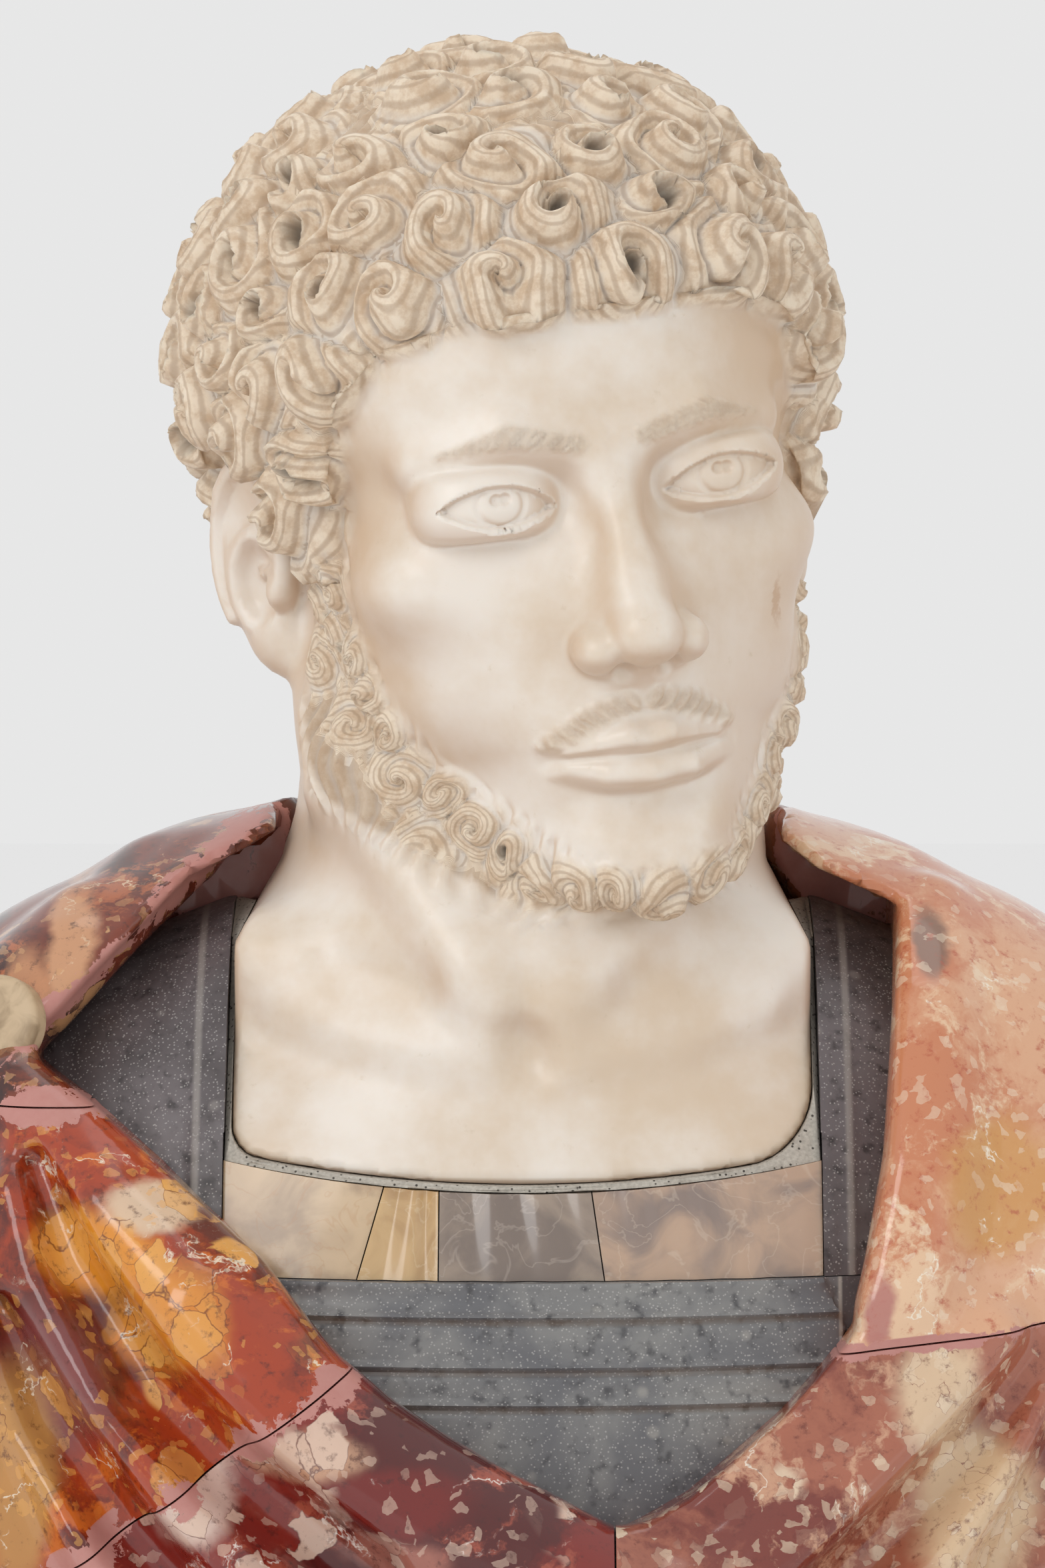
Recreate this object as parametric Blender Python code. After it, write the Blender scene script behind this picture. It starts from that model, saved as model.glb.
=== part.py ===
import math

import bmesh
import bpy
import numpy as np
from mathutils import Matrix, Vector

for old in list(bpy.data.objects):
    bpy.data.objects.remove(old, do_unlink=True)

# Driving dimensions, in metres and degrees
HEAD_HEIGHT = 0.264
HEAD_PLACE = (0.0005, 0.0, 0.488)
HEAD_WIDENING = 1.10
HEAD_TURN = 16.0
HEAD_ROLL = -8.0
HEAD_BOW = 4.0
CURL_RADIUS = 13.5
CURL_RISE = 10.5
CURL_SPACING = 20.5
BEARD_CURL_RADIUS = 7.5
BEARD_CURL_RISE = 4.2
BEARD_CURL_SPACING = 11.5
NECK_RADIUS = 0.0745
BIB_HALF_WIDTH = 0.0910
BIB_LOW = 0.2665
BIB_CORNER = 0.2745
BIB_SIDE = 0.3380
BIB_BACK = 0.0750
BIB_ROUND = 0.0060
NECK_FOOT = 0.3620
NECK_ROOM = 0.0040
CORE_TOP = 0.3480
SOCKET_WALL = 0.0022
JOINT = 0.0003
PLATE_TOP = 0.2380
PLATE_EDGE = 0.0030
BAND_BACK = -0.0480
BAND_JOINTS = ((-0.0512, -0.0430), (-0.0260, -0.0258), (0.0253, 0.0214))
CLOAK_COVER = 0.0240
CUT_BACK = 0.0300
CUT_COLLAR = 0.3280
CUT_FRONT = 0.0280
CUT_SHOULDER = 0.2900
FIBULA_PLACE = (-0.1655, 0.3130)
FIBULA_RADIUS = 0.0160
FIBULA_DEPTH = 0.0070
HEAD_FACES = 4200
CLOAK_FACES = 2000
FAR = 1e3


# Blends and plain solids as distance fields
def smooth_min(a, b, soft):
    blend = np.clip(soft - np.abs(a - b), 0, None) / soft
    return np.minimum(a, b) - blend * blend * soft / 4


def smooth_max(a, b, soft):
    return -smooth_min(-a, -b, soft)


def ellipsoid(points, centre, radii):
    radii = np.asarray(radii, float)
    scaled = (points - np.asarray(centre, float)) / radii
    out = np.sqrt((scaled**2).sum(-1))
    slope = np.sqrt(((scaled / radii) ** 2).sum(-1))
    return out * (out - 1) / np.maximum(slope, 1e-6)


def rod(points, path, radii):
    path = np.asarray(path, float)
    best = np.full(len(points), FAR)
    for a, b, ra, rb in zip(path, path[1:], radii, radii[1:]):
        along = b - a
        t = np.clip(((points - a) @ along) / (along @ along), 0, 1)
        gap = points - a - t[:, None] * along
        best = np.minimum(best, np.sqrt((gap**2).sum(-1)) - (ra + (rb - ra) * t))
    return best


def mirrored(points):
    both = points.copy()
    both[:, 0] = np.abs(both[:, 0])
    return both


def outline(flat, corners):
    corners = np.asarray(corners, float)
    best = np.full(len(flat), FAR)
    inside = np.zeros(len(flat), bool)
    for a, b in zip(corners, np.roll(corners, -1, axis=0)):
        along = b - a
        t = np.clip(((flat - a) @ along) / max(along @ along, 1e-12), 0, 1)
        best = np.minimum(best, np.hypot(*(flat - a - t[:, None] * along).T))
        crosses = (a[1] > flat[:, 1]) != (b[1] > flat[:, 1])
        level = b[1] - a[1] if abs(b[1] - a[1]) > 1e-12 else 1e-12
        inside ^= crosses & (flat[:, 0] < a[0] + along[0] * (flat[:, 1] - a[1]) / level)
    return np.where(inside, -best, best)


# Bare head, in units of 1/250 of its height, facing -Y with the eyes at z = 0
EYE = (31.0, -75.0, 0.0)
EYE_RADII = (18.5, 16.5, 15.5)


def bare_head(p):
    m = mirrored(p)
    d = ellipsoid(p, (0, 10, 34), (80, 97, 82))
    d = smooth_min(d, ellipsoid(p, (0, 6, -22), (64, 52, 52)), 22)
    d = smooth_min(d, ellipsoid(p, (0, -40, 34), (60, 50, 46)), 18)
    d = smooth_min(d, ellipsoid(p, (0, -36, -28), (57, 57, 58)), 20)
    d = smooth_min(d, ellipsoid(p, (0, -56, -40), (38, 38, 44)), 16)
    d = smooth_min(d, ellipsoid(m, (30, -34, -56), (28, 42, 38)), 18)
    d = smooth_min(d, rod(m, [(50, -4, -50), (46, -14, -78), (34, -46, -96), (14, -76, -107)],
                          [11, 12, 12, 12]), 18)
    d = smooth_min(d, ellipsoid(p, (0, -68, -72), (31, 29, 30)), 16)
    d = smooth_min(d, ellipsoid(p, (0, -84, -107), (19, 15, 15)), 10)
    d = smooth_min(d, ellipsoid(m, (43, -58, -22), (19, 18, 13)), 20)
    return smooth_min(d, ellipsoid(p, (0, -38, -92), (38, 46, 20)), 16)


def face(p, d):
    m = mirrored(p)
    d = smooth_min(d, rod(m, [(5, -86, 14), (26, -86.5, 18), (46, -71, 13)], [5.5, 5.5, 5]), 14)
    d = smooth_max(d, -ellipsoid(m, (31, -101, -1), (19, 17, 11.5)), 9)
    d = smooth_max(d, -ellipsoid(m, (16, -97, -2), (5, 11, 9)), 8)
    nose = rod(p, [(0, -88, 12), (0, -96, -6), (0, -109.5, -38)], [5, 5.2, 6.4])
    nose = smooth_min(nose, ellipsoid(p, (0, -95, -36), (12, 14, 20)), 8)
    nose = smooth_min(nose, ellipsoid(p, (0, -109.5, -41.5), (9.3, 9.5, 8.6)), 5)
    d = smooth_min(d, nose, 9)
    d = smooth_min(d, ellipsoid(m, (12, -101, -44.5), (6.8, 9.5, 7.2)), 4)
    d = smooth_max(d, -ellipsoid(m, (6.4, -105, -52), (3.2, 6, 4)), 2)
    d = smooth_min(d, eyes(m), 2.5)
    d = smooth_min(d, rod(m, [(24, -86, -75), (12, -95.5, -72.8), (5, -99, -71.4), (0, -98.6, -72.4)],
                          [1.8, 3.4, 4.2, 3.8]), 4)
    d = smooth_min(d, rod(m, [(22, -86.5, -79), (10, -95.5, -82), (0, -97.6, -83.2)], [2, 4.6, 5.2]), 4)
    line = rod(m, [(26, -88, -77), (13, -98, -76.4), (5, -103.4, -76.8), (0, -103.8, -77.6)],
               [0.9, 1.3, 1.5, 1.5])
    d = smooth_max(d, -line, 1.6)
    d = smooth_max(d, -ellipsoid(m, (27.5, -90, -77), (3.5, 4, 3.5)), 4)
    d = smooth_max(d, -rod(p, [(0, -105, -58), (0, -106, -68)], [1.8, 2.6]), 3.5)
    return smooth_max(d, -rod(p, [(-8, -101, -94), (8, -101, -94)], [3, 3]), 9)


def eyes(m):
    t = np.clip((m[:, 0] - 15.6) / 31.4, 0, 1)
    level = -2.4 + 2.8 * t
    arch = np.sin(np.pi * t)
    upper = level + 6.8 * arch**0.75 * (1.1 - 0.2 * t)
    lower = level - 5.2 * arch**0.9 * (0.88 + 0.24 * t)
    almond = np.maximum(np.maximum(m[:, 2] - upper, lower - m[:, 2]), np.abs(m[:, 0] - 31.3) - 15.7)
    lift = np.clip((almond + 0.7) / 1.6, 0, 1)
    lift = lift * lift * (3 - 2 * lift)
    ball = ellipsoid(m, EYE, EYE_RADII)
    return smooth_max(ball - 2.6 * lift, np.abs(m[:, 2] - 0.5) - 10.5, 3)


def ears(p):
    q = mirrored(p) - np.array((76.0, 6.0, -17.0))
    turn = Matrix.Rotation(math.radians(-22), 3, "Z") @ Matrix.Rotation(math.radians(10), 3, "X")
    q = q @ np.array(turn)
    d = smooth_min(ellipsoid(q, (0, 1, 3), (5.5, 17, 29)), ellipsoid(q, (-1, -6, -24), (5, 8.5, 10)), 6)
    d = smooth_max(d, -ellipsoid(q, (7.5, -3, -6), (9, 9.5, 12.5)), 3)
    d = smooth_max(d, -ellipsoid(q, (7, 3, 13), (5, 9.5, 13)), 3)
    turns = np.radians(np.linspace(-60, 205, 15))
    rim = [(2.8, 1 + 15.5 * math.cos(a), 4 + 26.5 * math.sin(a)) for a in turns]
    rim += [(2.0, -9.5, -1.0), (1.0, -3.0, -3.5)]
    d = smooth_min(d, rod(q, rim, [2.6] * 5 + [3.2] * 8 + [3.0, 3.0, 2.4, 1.6]), 2)
    turns = np.radians(np.linspace(-70, 75, 9))
    inner = [(3.2, -3.5 + 11 * math.cos(a), -5 + 14.5 * math.sin(a)) for a in turns]
    d = smooth_min(d, rod(q, inner, [2.4] * 9), 2.5)
    d = smooth_min(d, ellipsoid(q, (2.5, -12, -7), (3.6, 3.4, 5.5)), 2.5)
    return smooth_min(d, ellipsoid(q, (-7, 3, 1), (7, 12, 23)), 4)


# Hair and beard: their edge is drawn round the head by bearing and height
HAIR_EDGE = [(-30, 54), (22, 53), (36, 48), (46, 36), (52, 20), (56, 0), (58, -28), (52, -56), (40, -78),
             (25, -95), (13, -110), (-30, -113), (-30, -128), (24, -124), (46, -104), (68, -86), (79, -62),
             (79, 8), (84, 22), (104, 22), (113, -5), (118, -40), (140, -62), (210, -66), (210, 200), (-30, 200)]
BEARING_WIDTH = 1.4


def inside_hair(p):
    bearing = np.degrees(np.arctan2(np.abs(p[:, 0]), -p[:, 1])) * BEARING_WIDTH
    edge = [(a * BEARING_WIDTH, z) for a, z in HAIR_EDGE]
    return -outline(np.stack((bearing, p[:, 2]), -1), edge)


def hair_cover(p, d):
    depth = np.clip(inside_hair(p) / 8, 0, 1)
    return d - (2.0 + 3.0 * (p[:, 2] > -20)) * depth * depth * (3 - 2 * depth)


def head_form(p):
    d = face(p, bare_head(p))
    d = smooth_min(d, ears(p), 4)
    return d


def slope_of(field, p, reach):
    steps = np.eye(3) * reach
    parts = [field(p + s) - field(p - s) for s in steps]
    normal = np.stack(parts, -1)
    return normal / np.maximum(np.linalg.norm(normal, axis=1, keepdims=True), 1e-9)


def strike(field, origin, rays, reach):
    near = np.zeros(len(rays))
    far = np.full(len(rays), reach)
    for _ in range(26):
        middle = (near + far) / 2
        inner = field(origin + rays * middle[:, None]) < 0
        near = np.where(inner, middle, near)
        far = np.where(inner, far, middle)
    return origin + rays * near[:, None]


def all_round(count):
    k = np.arange(count) + 0.5
    height = 1 - 2 * k / count
    turn = k * math.pi * (3 - math.sqrt(5))
    wide = np.sqrt(1 - height**2)
    return np.stack((wide * np.cos(turn), wide * np.sin(turn), height), -1)


def curl_places():
    base = bare_head
    rays = all_round(5000)
    upper = strike(base, np.array((0.0, 5.0, 25.0)), rays, 200)
    lower = strike(base, np.array((0.0, -25.0, -58.0)), rays, 200)
    lower = lower[(lower[:, 2] < -22) & (lower[:, 1] < 0)]
    places = []
    for cloud, radius, spacing, rise in ((lower, BEARD_CURL_RADIUS, BEARD_CURL_SPACING, BEARD_CURL_RISE),
                                         (upper, CURL_RADIUS, CURL_SPACING, CURL_RISE)):
        depth = inside_hair(cloud)
        beard = (cloud[:, 2] < -22) & (cloud[:, 1] < 0)
        keep = depth > radius * 0.62
        keep &= beard if radius == BEARD_CURL_RADIUS else ~beard
        keep &= ears(cloud) > 0.55 * radius
        cloud = cloud[keep]
        for spot in cloud[np.argsort(depth[keep])]:
            clear = [np.linalg.norm(spot - q[0]) >= (spacing if q[1] == radius else 16.0) for q in places]
            if all(clear):
                places.append((spot, radius, rise))
    return places


def curl_relief(p):
    first = np.full(len(p), 9.0)
    second = np.full(len(p), 9.0)
    rises = np.zeros(len(p))
    for spot, radius, rise in curl_places():
        apart = np.linalg.norm(p - spot, axis=1) / radius
        nearer = apart < first
        second = np.where(nearer, first, np.minimum(second, apart))
        first = np.where(nearer, apart, first)
        rises[nearer] = rise
    crest = np.clip(2.2 * (second - first) / (second + first), 0, 1) ** 0.6
    edge = np.clip(1.35 - first, 0, 1) ** 0.5
    dome = np.minimum(crest, edge) - 0.22 * np.exp(-((first / 0.22) ** 2))
    return rises * np.clip(dome, 0, 1) * np.clip(ears(p) / 3, 0, 1) * np.clip(inside_hair(p) / 3 + 1, 0, 1)


# Turned and tilted place of the head
UNIT = HEAD_HEIGHT / 250
TURN = (Matrix.Rotation(math.radians(HEAD_TURN), 3, "Z") @ Matrix.Rotation(math.radians(HEAD_ROLL), 3, "Y")
        @ Matrix.Rotation(math.radians(HEAD_BOW), 3, "X"))


def to_head(p):
    return (p - np.array(HEAD_PLACE)) @ np.array(TURN) / (UNIT * np.array((HEAD_WIDENING, 1, 1)))


# Torso, neck and bib skin
def torso(p):
    m = mirrored(p)
    d = ellipsoid(p, (0, 0, 0.15), (0.205, 0.118, 0.20))
    d = smooth_min(d, ellipsoid(p, (0, 0.005, 0.03), (0.185, 0.11, 0.16)), 0.05)
    d = smooth_min(d, rod(m, [(0.02, 0.02, 0.246), (0.165, 0.02, 0.225)], [0.07, 0.0665]), 0.05)
    return smooth_min(d, rod(m, [(0, 0.035, 0.325), (0.12, 0.02, 0.278)], [0.049, 0.049]), 0.05)


def neck(p):
    d = rod(p, [(0.002, 0.014, 0.30), (0.003, 0.012, 0.40), (0.000, 0.008, 0.46)],
            [NECK_RADIUS + 0.003, NECK_RADIUS, NECK_RADIUS - 0.006])
    pit = (-0.004, -0.066, 0.333)
    left = [(-0.060, 0.005, 0.455), (-0.052, -0.032, 0.39), (-0.010, -0.064, 0.338)]
    right = [(0.062, 0.022, 0.44), (0.045, -0.034, 0.39), (0.006, -0.062, 0.338)]
    d = smooth_min(d, rod(p, left, [0.016, 0.018, 0.008]), 0.014)
    d = smooth_min(d, rod(p, right, [0.014, 0.016, 0.008]), 0.018)
    return smooth_max(d, -ellipsoid(p, pit, (0.009, 0.008, 0.010)), 0.012)


def skin(p):
    chest = torso(p) + 0.005
    m = mirrored(p)
    chest = smooth_min(chest, rod(m, [(0.012, -0.058, 0.322), (0.09, -0.035, 0.335)], [0.010, 0.010]), 0.03)
    return smooth_min(chest, neck(p), 0.036)


def head_stone(p):
    local = to_head(p)
    crown = hair_cover(local, head_form(local)) * UNIT
    return smooth_min(skin(p), crown, 0.008)


# Closed skin of a field, drawn through a grid of tetrahedra
TETRAHEDRA = ((0, 1, 3, 7), (0, 3, 2, 7), (0, 2, 6, 7), (0, 6, 4, 7), (0, 4, 5, 7), (0, 5, 1, 7))


def closed_skin(field, low, high, step):
    low = np.asarray(low, float)
    counts = np.ceil((np.asarray(high, float) - low) / step).astype(int) + 1
    axes = [low[k] + step * np.arange(counts[k]) for k in range(3)]
    grid = np.stack(np.meshgrid(*axes, indexing="ij"), -1).reshape(-1, 3)
    values = np.concatenate([field(part) for part in np.array_split(grid, 1 + len(grid) // 150000)])
    values[np.abs(values) < step * 1e-4] = step * 1e-4
    strides = np.array((counts[1] * counts[2], counts[2], 1))
    cells = np.stack(np.meshgrid(*[np.arange(n - 1) for n in counts], indexing="ij"), -1).reshape(-1, 3)
    cells = cells @ strides
    corners = np.stack([cells + (k & 1) * strides[0] + (k >> 1 & 1) * strides[1] + (k >> 2) * strides[2]
                        for k in range(8)], -1)
    busy = (values[corners] < 0).any(1) & (values[corners] > 0).any(1)
    corners = corners[busy]
    edges = []
    faces_in = []
    faces_out = []
    for tetra in TETRAHEDRA:
        four = corners[:, tetra]
        inner = values[four] < 0
        for bits in range(1, 15):
            pattern = [bool(bits >> k & 1) for k in range(4)]
            rows = four[(inner == pattern).all(1)]
            ins = [k for k in range(4) if pattern[k]]
            outs = [k for k in range(4) if not pattern[k]]
            if len(ins) == 2:
                ring = [(ins[0], outs[0]), (ins[0], outs[1]), (ins[1], outs[1]), (ins[1], outs[0])]
                trios = [ring[:3], [ring[0], ring[2], ring[3]]]
            else:
                trios = [[(a, b) for a in ins for b in outs]]
            for trio in trios:
                edges.append(np.stack([rows[:, list(pair)] for pair in trio], 1))
                faces_in.append(grid[rows[:, ins]].mean(1))
                faces_out.append(grid[rows[:, outs]].mean(1))
    edges = np.concatenate(edges)
    way = np.concatenate(faces_out) - np.concatenate(faces_in)
    flat = np.sort(edges.reshape(-1, 2), axis=1)
    keys, index = np.unique(flat[:, 0] * len(values) + flat[:, 1], return_inverse=True)
    first, second = keys // len(values), keys % len(values)
    t = np.clip(values[first] / (values[first] - values[second]), 0.03, 0.97)[:, None]
    points = grid[first] * (1 - t) + grid[second] * t
    faces = index.reshape(-1, 3)
    normal = np.cross(points[faces[:, 1]] - points[faces[:, 0]], points[faces[:, 2]] - points[faces[:, 0]])
    turned = (normal * way).sum(1) < 0
    faces[turned] = faces[turned][:, ::-1]
    return points, faces


# Pieces of mesh
def add_piece(name, points, faces):
    mesh = bpy.data.meshes.new(name)
    mesh.from_pydata([tuple(v) for v in np.asarray(points)], [], [tuple(int(k) for k in f) for f in faces])
    mesh.update()
    piece = bpy.data.objects.new(name, mesh)
    bpy.context.collection.objects.link(piece)
    return piece


def settle(piece):
    bpy.context.view_layer.update()
    shaped = piece.evaluated_get(bpy.context.evaluated_depsgraph_get())
    mesh = bpy.data.meshes.new_from_object(shaped)
    piece.modifiers.clear()
    piece.data = mesh


def thin_out(piece, faces):
    count = sum(len(f.vertices) - 2 for f in piece.data.polygons)
    change = piece.modifiers.new("fewer_faces", "DECIMATE")
    change.ratio = min(1.0, faces / count)
    settle(piece)


def combine(piece, cutter, way):
    change = piece.modifiers.new("joint", "BOOLEAN")
    change.operation = way
    change.solver = "EXACT"
    change.object = cutter
    settle(piece)


def drop(piece):
    bpy.data.objects.remove(piece, do_unlink=True)


def tidy_mesh(piece):
    work = bmesh.new()
    work.from_mesh(piece.data)
    bmesh.ops.remove_doubles(work, verts=work.verts, dist=2e-6)
    bmesh.ops.dissolve_degenerate(work, edges=work.edges, dist=2e-6)
    bmesh.ops.triangulate(work, faces=[f for f in work.faces if len(f.verts) > 4])
    bmesh.ops.recalc_face_normals(work, faces=work.faces)
    work.to_mesh(piece.data)
    work.free()


def share(source, name, cuts):
    piece = source.copy()
    piece.data = source.data.copy()
    piece.name = name
    bpy.context.collection.objects.link(piece)
    work = bmesh.new()
    work.from_mesh(piece.data)
    for place, way in cuts:
        way = Vector(way).normalized()
        spot = Vector(place) - way * (JOINT / 2)
        parts = list(work.verts) + list(work.edges) + list(work.faces)
        cut = bmesh.ops.bisect_plane(work, geom=parts, plane_co=spot, plane_no=way, clear_outer=True)
        rim = [g for g in cut["geom_cut"] if isinstance(g, bmesh.types.BMEdge)]
        if rim:
            filled = bmesh.ops.triangle_fill(work, edges=rim, use_beauty=True)
            del filled
    work.to_mesh(piece.data)
    work.free()
    tidy_mesh(piece)
    return piece


def prism(name, shape, front, back):
    count = len(shape)
    points = [(x, front, z) for x, z in shape] + [(x, back, z) for x, z in shape]
    faces = [tuple(range(count)), tuple(range(2 * count - 1, count - 1, -1))]
    for k in range(count):
        other = (k + 1) % count
        faces.append((k, k + count, other + count, other))
    piece = add_piece(name, points, faces)
    work = bmesh.new()
    work.from_mesh(piece.data)
    bmesh.ops.recalc_face_normals(work, faces=work.faces)
    work.to_mesh(piece.data)
    work.free()
    return piece


# Outline of the bib's lower edge and sides, and of its socket
def bib_shape(grow, round_corner, top):
    wide = BIB_HALF_WIDTH + grow
    shape = []
    for k in range(13):
        x = wide * (k / 6 - 1)
        z = BIB_LOW - grow + (BIB_CORNER - BIB_LOW) * (x / wide) ** 2
        edge = max(0.0, abs(x) - (wide - round_corner))
        z += round_corner - math.sqrt(max(round_corner**2 - edge**2, 0.0)) if round_corner else 0.0
        shape.append((x, z))
    return [(-wide, top)] + shape + [(wide, top)]


# Outline above the bib: in to the neck, up it, and out round the head
def neck_sides(grow):
    side = NECK_RADIUS + NECK_ROOM + grow
    right = [(side, NECK_FOOT + grow), (side, 0.400), (0.25, 0.44), (0.25, 0.75)]
    return right + [(-x, z) for x, z in reversed(right)]


# Cuirass and its core, ring by ring
def moulding(z):
    depth = PLATE_TOP - z
    roll = 0.0026 * math.sqrt(max(0.0, 1 - ((depth - 0.0043) / 0.0047) ** 2))
    groove = sum(0.0016 * math.exp(-(((depth - at) / 0.0012) ** 2)) for at in (0.0098, 0.0250, 0.0362))
    return roll - groove


RING_TURNS = [math.radians(a) for a in list(range(-78, 79, 6)) + [92, 108, 124, 142, 162, 182, 202]]
RING_TURNS += [math.radians(a) for a in (222, 240, 256, 270)]
RAYS = np.array([(math.sin(a), -math.cos(a), 0.0) for a in RING_TURNS])


def ring_solid(name, rows):
    points = []
    for z, grow, relief in rows:
        here = strike(lambda q: torso(q) - grow, np.array((0.0, 0.012, z)), RAYS, 0.45)
        front = np.clip((0.13 - np.abs(here[:, 0])) / 0.02, 0, 1) * (here[:, 1] < 0)
        here += RAYS * (front * relief)[:, None]
        here[:, 2] = z
        points.append(here)
    count = len(RAYS)
    faces = []
    for row in range(len(rows) - 1):
        for k in range(count):
            a = row * count + k
            b = row * count + (k + 1) % count
            faces.append((a, b, b + count))
            faces.append((a, b + count, a + count))
    end = len(rows) * count
    for k in range(count):
        faces.append((end, (k + 1) % count, k))
        faces.append((end + 1, end - count + k, end - count + (k + 1) % count))
    centres = [(0.0, 0.012, rows[0][0]), (0.0, 0.012, rows[-1][0])]
    return add_piece(name, np.vstack(points + [centres]), faces)


# Cloak: cover, opening, rolls and folds
OPENING = [(-0.0790, 0.4600), (-0.0790, 0.3718), (-0.0890, 0.3660), (-0.1063, 0.3577), (-0.1325, 0.3321),
           (-0.1516, 0.3129), (-0.1535, 0.3011), (-0.1356, 0.2903), (-0.1128, 0.2725), (-0.0952, 0.2571),
           (-0.0807, 0.2435), (-0.0588, 0.2138), (-0.0252, 0.1910), (0.0078, 0.1733), (0.0271, 0.1625),
           (0.0507, 0.1754), (0.0796, 0.1993), (0.1027, 0.2242), (0.1090, 0.2427), (0.1165, 0.2752),
           (0.1196, 0.3492), (0.0941, 0.3603), (0.0828, 0.3690), (0.0803, 0.4600)]
ROLLS = [([(-0.1601, 0.2934), (-0.1280, 0.2573), (-0.0991, 0.2286), (-0.0790, 0.2071), (-0.0541, 0.1854),
           (-0.0196, 0.1644), (0.0196, 0.1448), (0.0591, 0.1214), (0.1090, 0.0960)], 0.022, 0.022, 0.014),
         ([(-0.1585, 0.2615), (-0.1393, 0.2266), (-0.1238, 0.2031), (-0.1066, 0.1767), (-0.0886, 0.1559),
           (-0.0589, 0.1323), (-0.0196, 0.1084), (0.0393, 0.0833)], 0.012, 0.028, 0.020),
         ([(-0.1683, 0.2397), (-0.1472, 0.1919), (-0.1308, 0.1635), (-0.1086, 0.1302), (-0.0589, 0.0928)],
          0.010, 0.028, 0.020),
         ([(-0.1916, 0.2481), (-0.1784, 0.1996), (-0.1648, 0.1507), (-0.1391, 0.1030)], 0.011, 0.028, 0.022),
         ([(-0.1054, 0.3590), (-0.1277, 0.3420), (-0.1521, 0.3190)], 0.010, 0.014, 0.012),
         ([(-0.1210, 0.3580), (-0.1450, 0.3360), (-0.1690, 0.3120)], 0.010, 0.018, 0.012),
         ([(-0.1430, 0.3450), (-0.1700, 0.3190), (-0.1900, 0.2940)], 0.010, 0.019, 0.014),
         ([(0.1310, 0.3480), (0.1291, 0.3171), (0.1254, 0.2694), (0.1187, 0.2330)], 0.012, 0.018, 0.014),
         ([(0.1461, 0.2217), (0.1192, 0.1951), (0.1013, 0.1745), (0.0738, 0.1551), (0.0491, 0.1352)],
          0.013, 0.026, 0.016),
         ([(0.1721, 0.2051), (0.1492, 0.1740), (0.1186, 0.1494), (0.0836, 0.1216)], 0.012, 0.028, 0.020),
         ([(0.2072, 0.2122), (0.1892, 0.1632), (0.1597, 0.1211)], 0.012, 0.028, 0.020)]
VALLEYS = [([(-0.1505, 0.2744), (-0.1396, 0.2460), (-0.1158, 0.2102), (-0.0886, 0.1847), (-0.0490, 0.1542)],
            0.0060),
           ([(-0.1620, 0.2304), (-0.1462, 0.1978), (-0.1206, 0.1641), (-0.0936, 0.1360)], 0.0050),
           ([(0.1597, 0.2144), (0.1390, 0.1898), (0.1144, 0.1656), (0.0886, 0.1411)], 0.0060),
           ([(0.1785, 0.2195), (0.1658, 0.1856), (0.1502, 0.1531)], 0.0060)]
BACK_FOLDS = [[(0.03, 0.32), (0.05, 0.22), (0.06, 0.12), (0.065, -0.03)],
              [(0.10, 0.31), (0.12, 0.22), (0.125, 0.12), (0.12, -0.03)],
              [(0.17, 0.29), (0.18, 0.22), (0.172, 0.12), (0.165, -0.03)],
              [(-0.05, 0.32), (-0.03, 0.22), (-0.015, 0.12), (-0.01, -0.03)],
              [(-0.12, 0.31), (-0.10, 0.22), (-0.09, 0.12), (-0.085, -0.03)],
              [(-0.18, 0.28), (-0.17, 0.22), (-0.16, 0.12), (-0.15, -0.03)]]


def on_cloth(path, out, way):
    flat = np.array(path)
    origin = np.stack((flat[:, 0], np.full(len(flat), 0.02), flat[:, 1]), -1)
    rays = np.tile((0.0, way, 0.0), (len(flat), 1))
    return [tuple(v) for v in strike(lambda q: torso(q) - out, origin, rays, 0.3)]


def cloak(p):
    d = torso(p) - CLOAK_COVER
    collar = [(-0.112, 0.020, 0.345), (-0.088, 0.072, 0.354), (-0.045, 0.098, 0.358), (0.0, 0.104, 0.359),
              (0.045, 0.098, 0.356), (0.088, 0.072, 0.350), (0.112, 0.020, 0.341)]
    d = smooth_min(d, rod(p, collar, [0.019] * 7), 0.020)
    front = np.maximum(outline(p[:, [0, 2]], OPENING), p[:, 1] - CUT_BACK)
    d = smooth_max(d, -front, 0.006)
    for path, radius, out, soft in ROLLS:
        d = smooth_min(d, rod(p, on_cloth(path, out, -1.0), [radius] * len(path)), soft)
    for path, radius in VALLEYS:
        for lift in (0.004, 0.013, 0.024):
            way = on_cloth(path, CLOAK_COVER + lift, -1.0)
            d = smooth_max(d, -rod(p, way, [radius + lift / 4] * len(path)), 0.010)
    for path in BACK_FOLDS:
        d = smooth_min(d, rod(p, on_cloth(path, CLOAK_COVER, 1.0), [0.008, 0.010, 0.011, 0.011]), 0.024)
    shaft = rod(p, [(0.003, 0.015, NECK_FOOT - 0.032), (0.003, 0.015, NECK_FOOT), (0.003, 0.015, 0.6)],
                [NECK_RADIUS + 0.023, NECK_RADIUS + 0.005, NECK_RADIUS + 0.005])
    d = smooth_max(d, -np.maximum(shaft, 0.30 - p[:, 2]), 0.005)
    return np.maximum(d, -p[:, 2])


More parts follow.
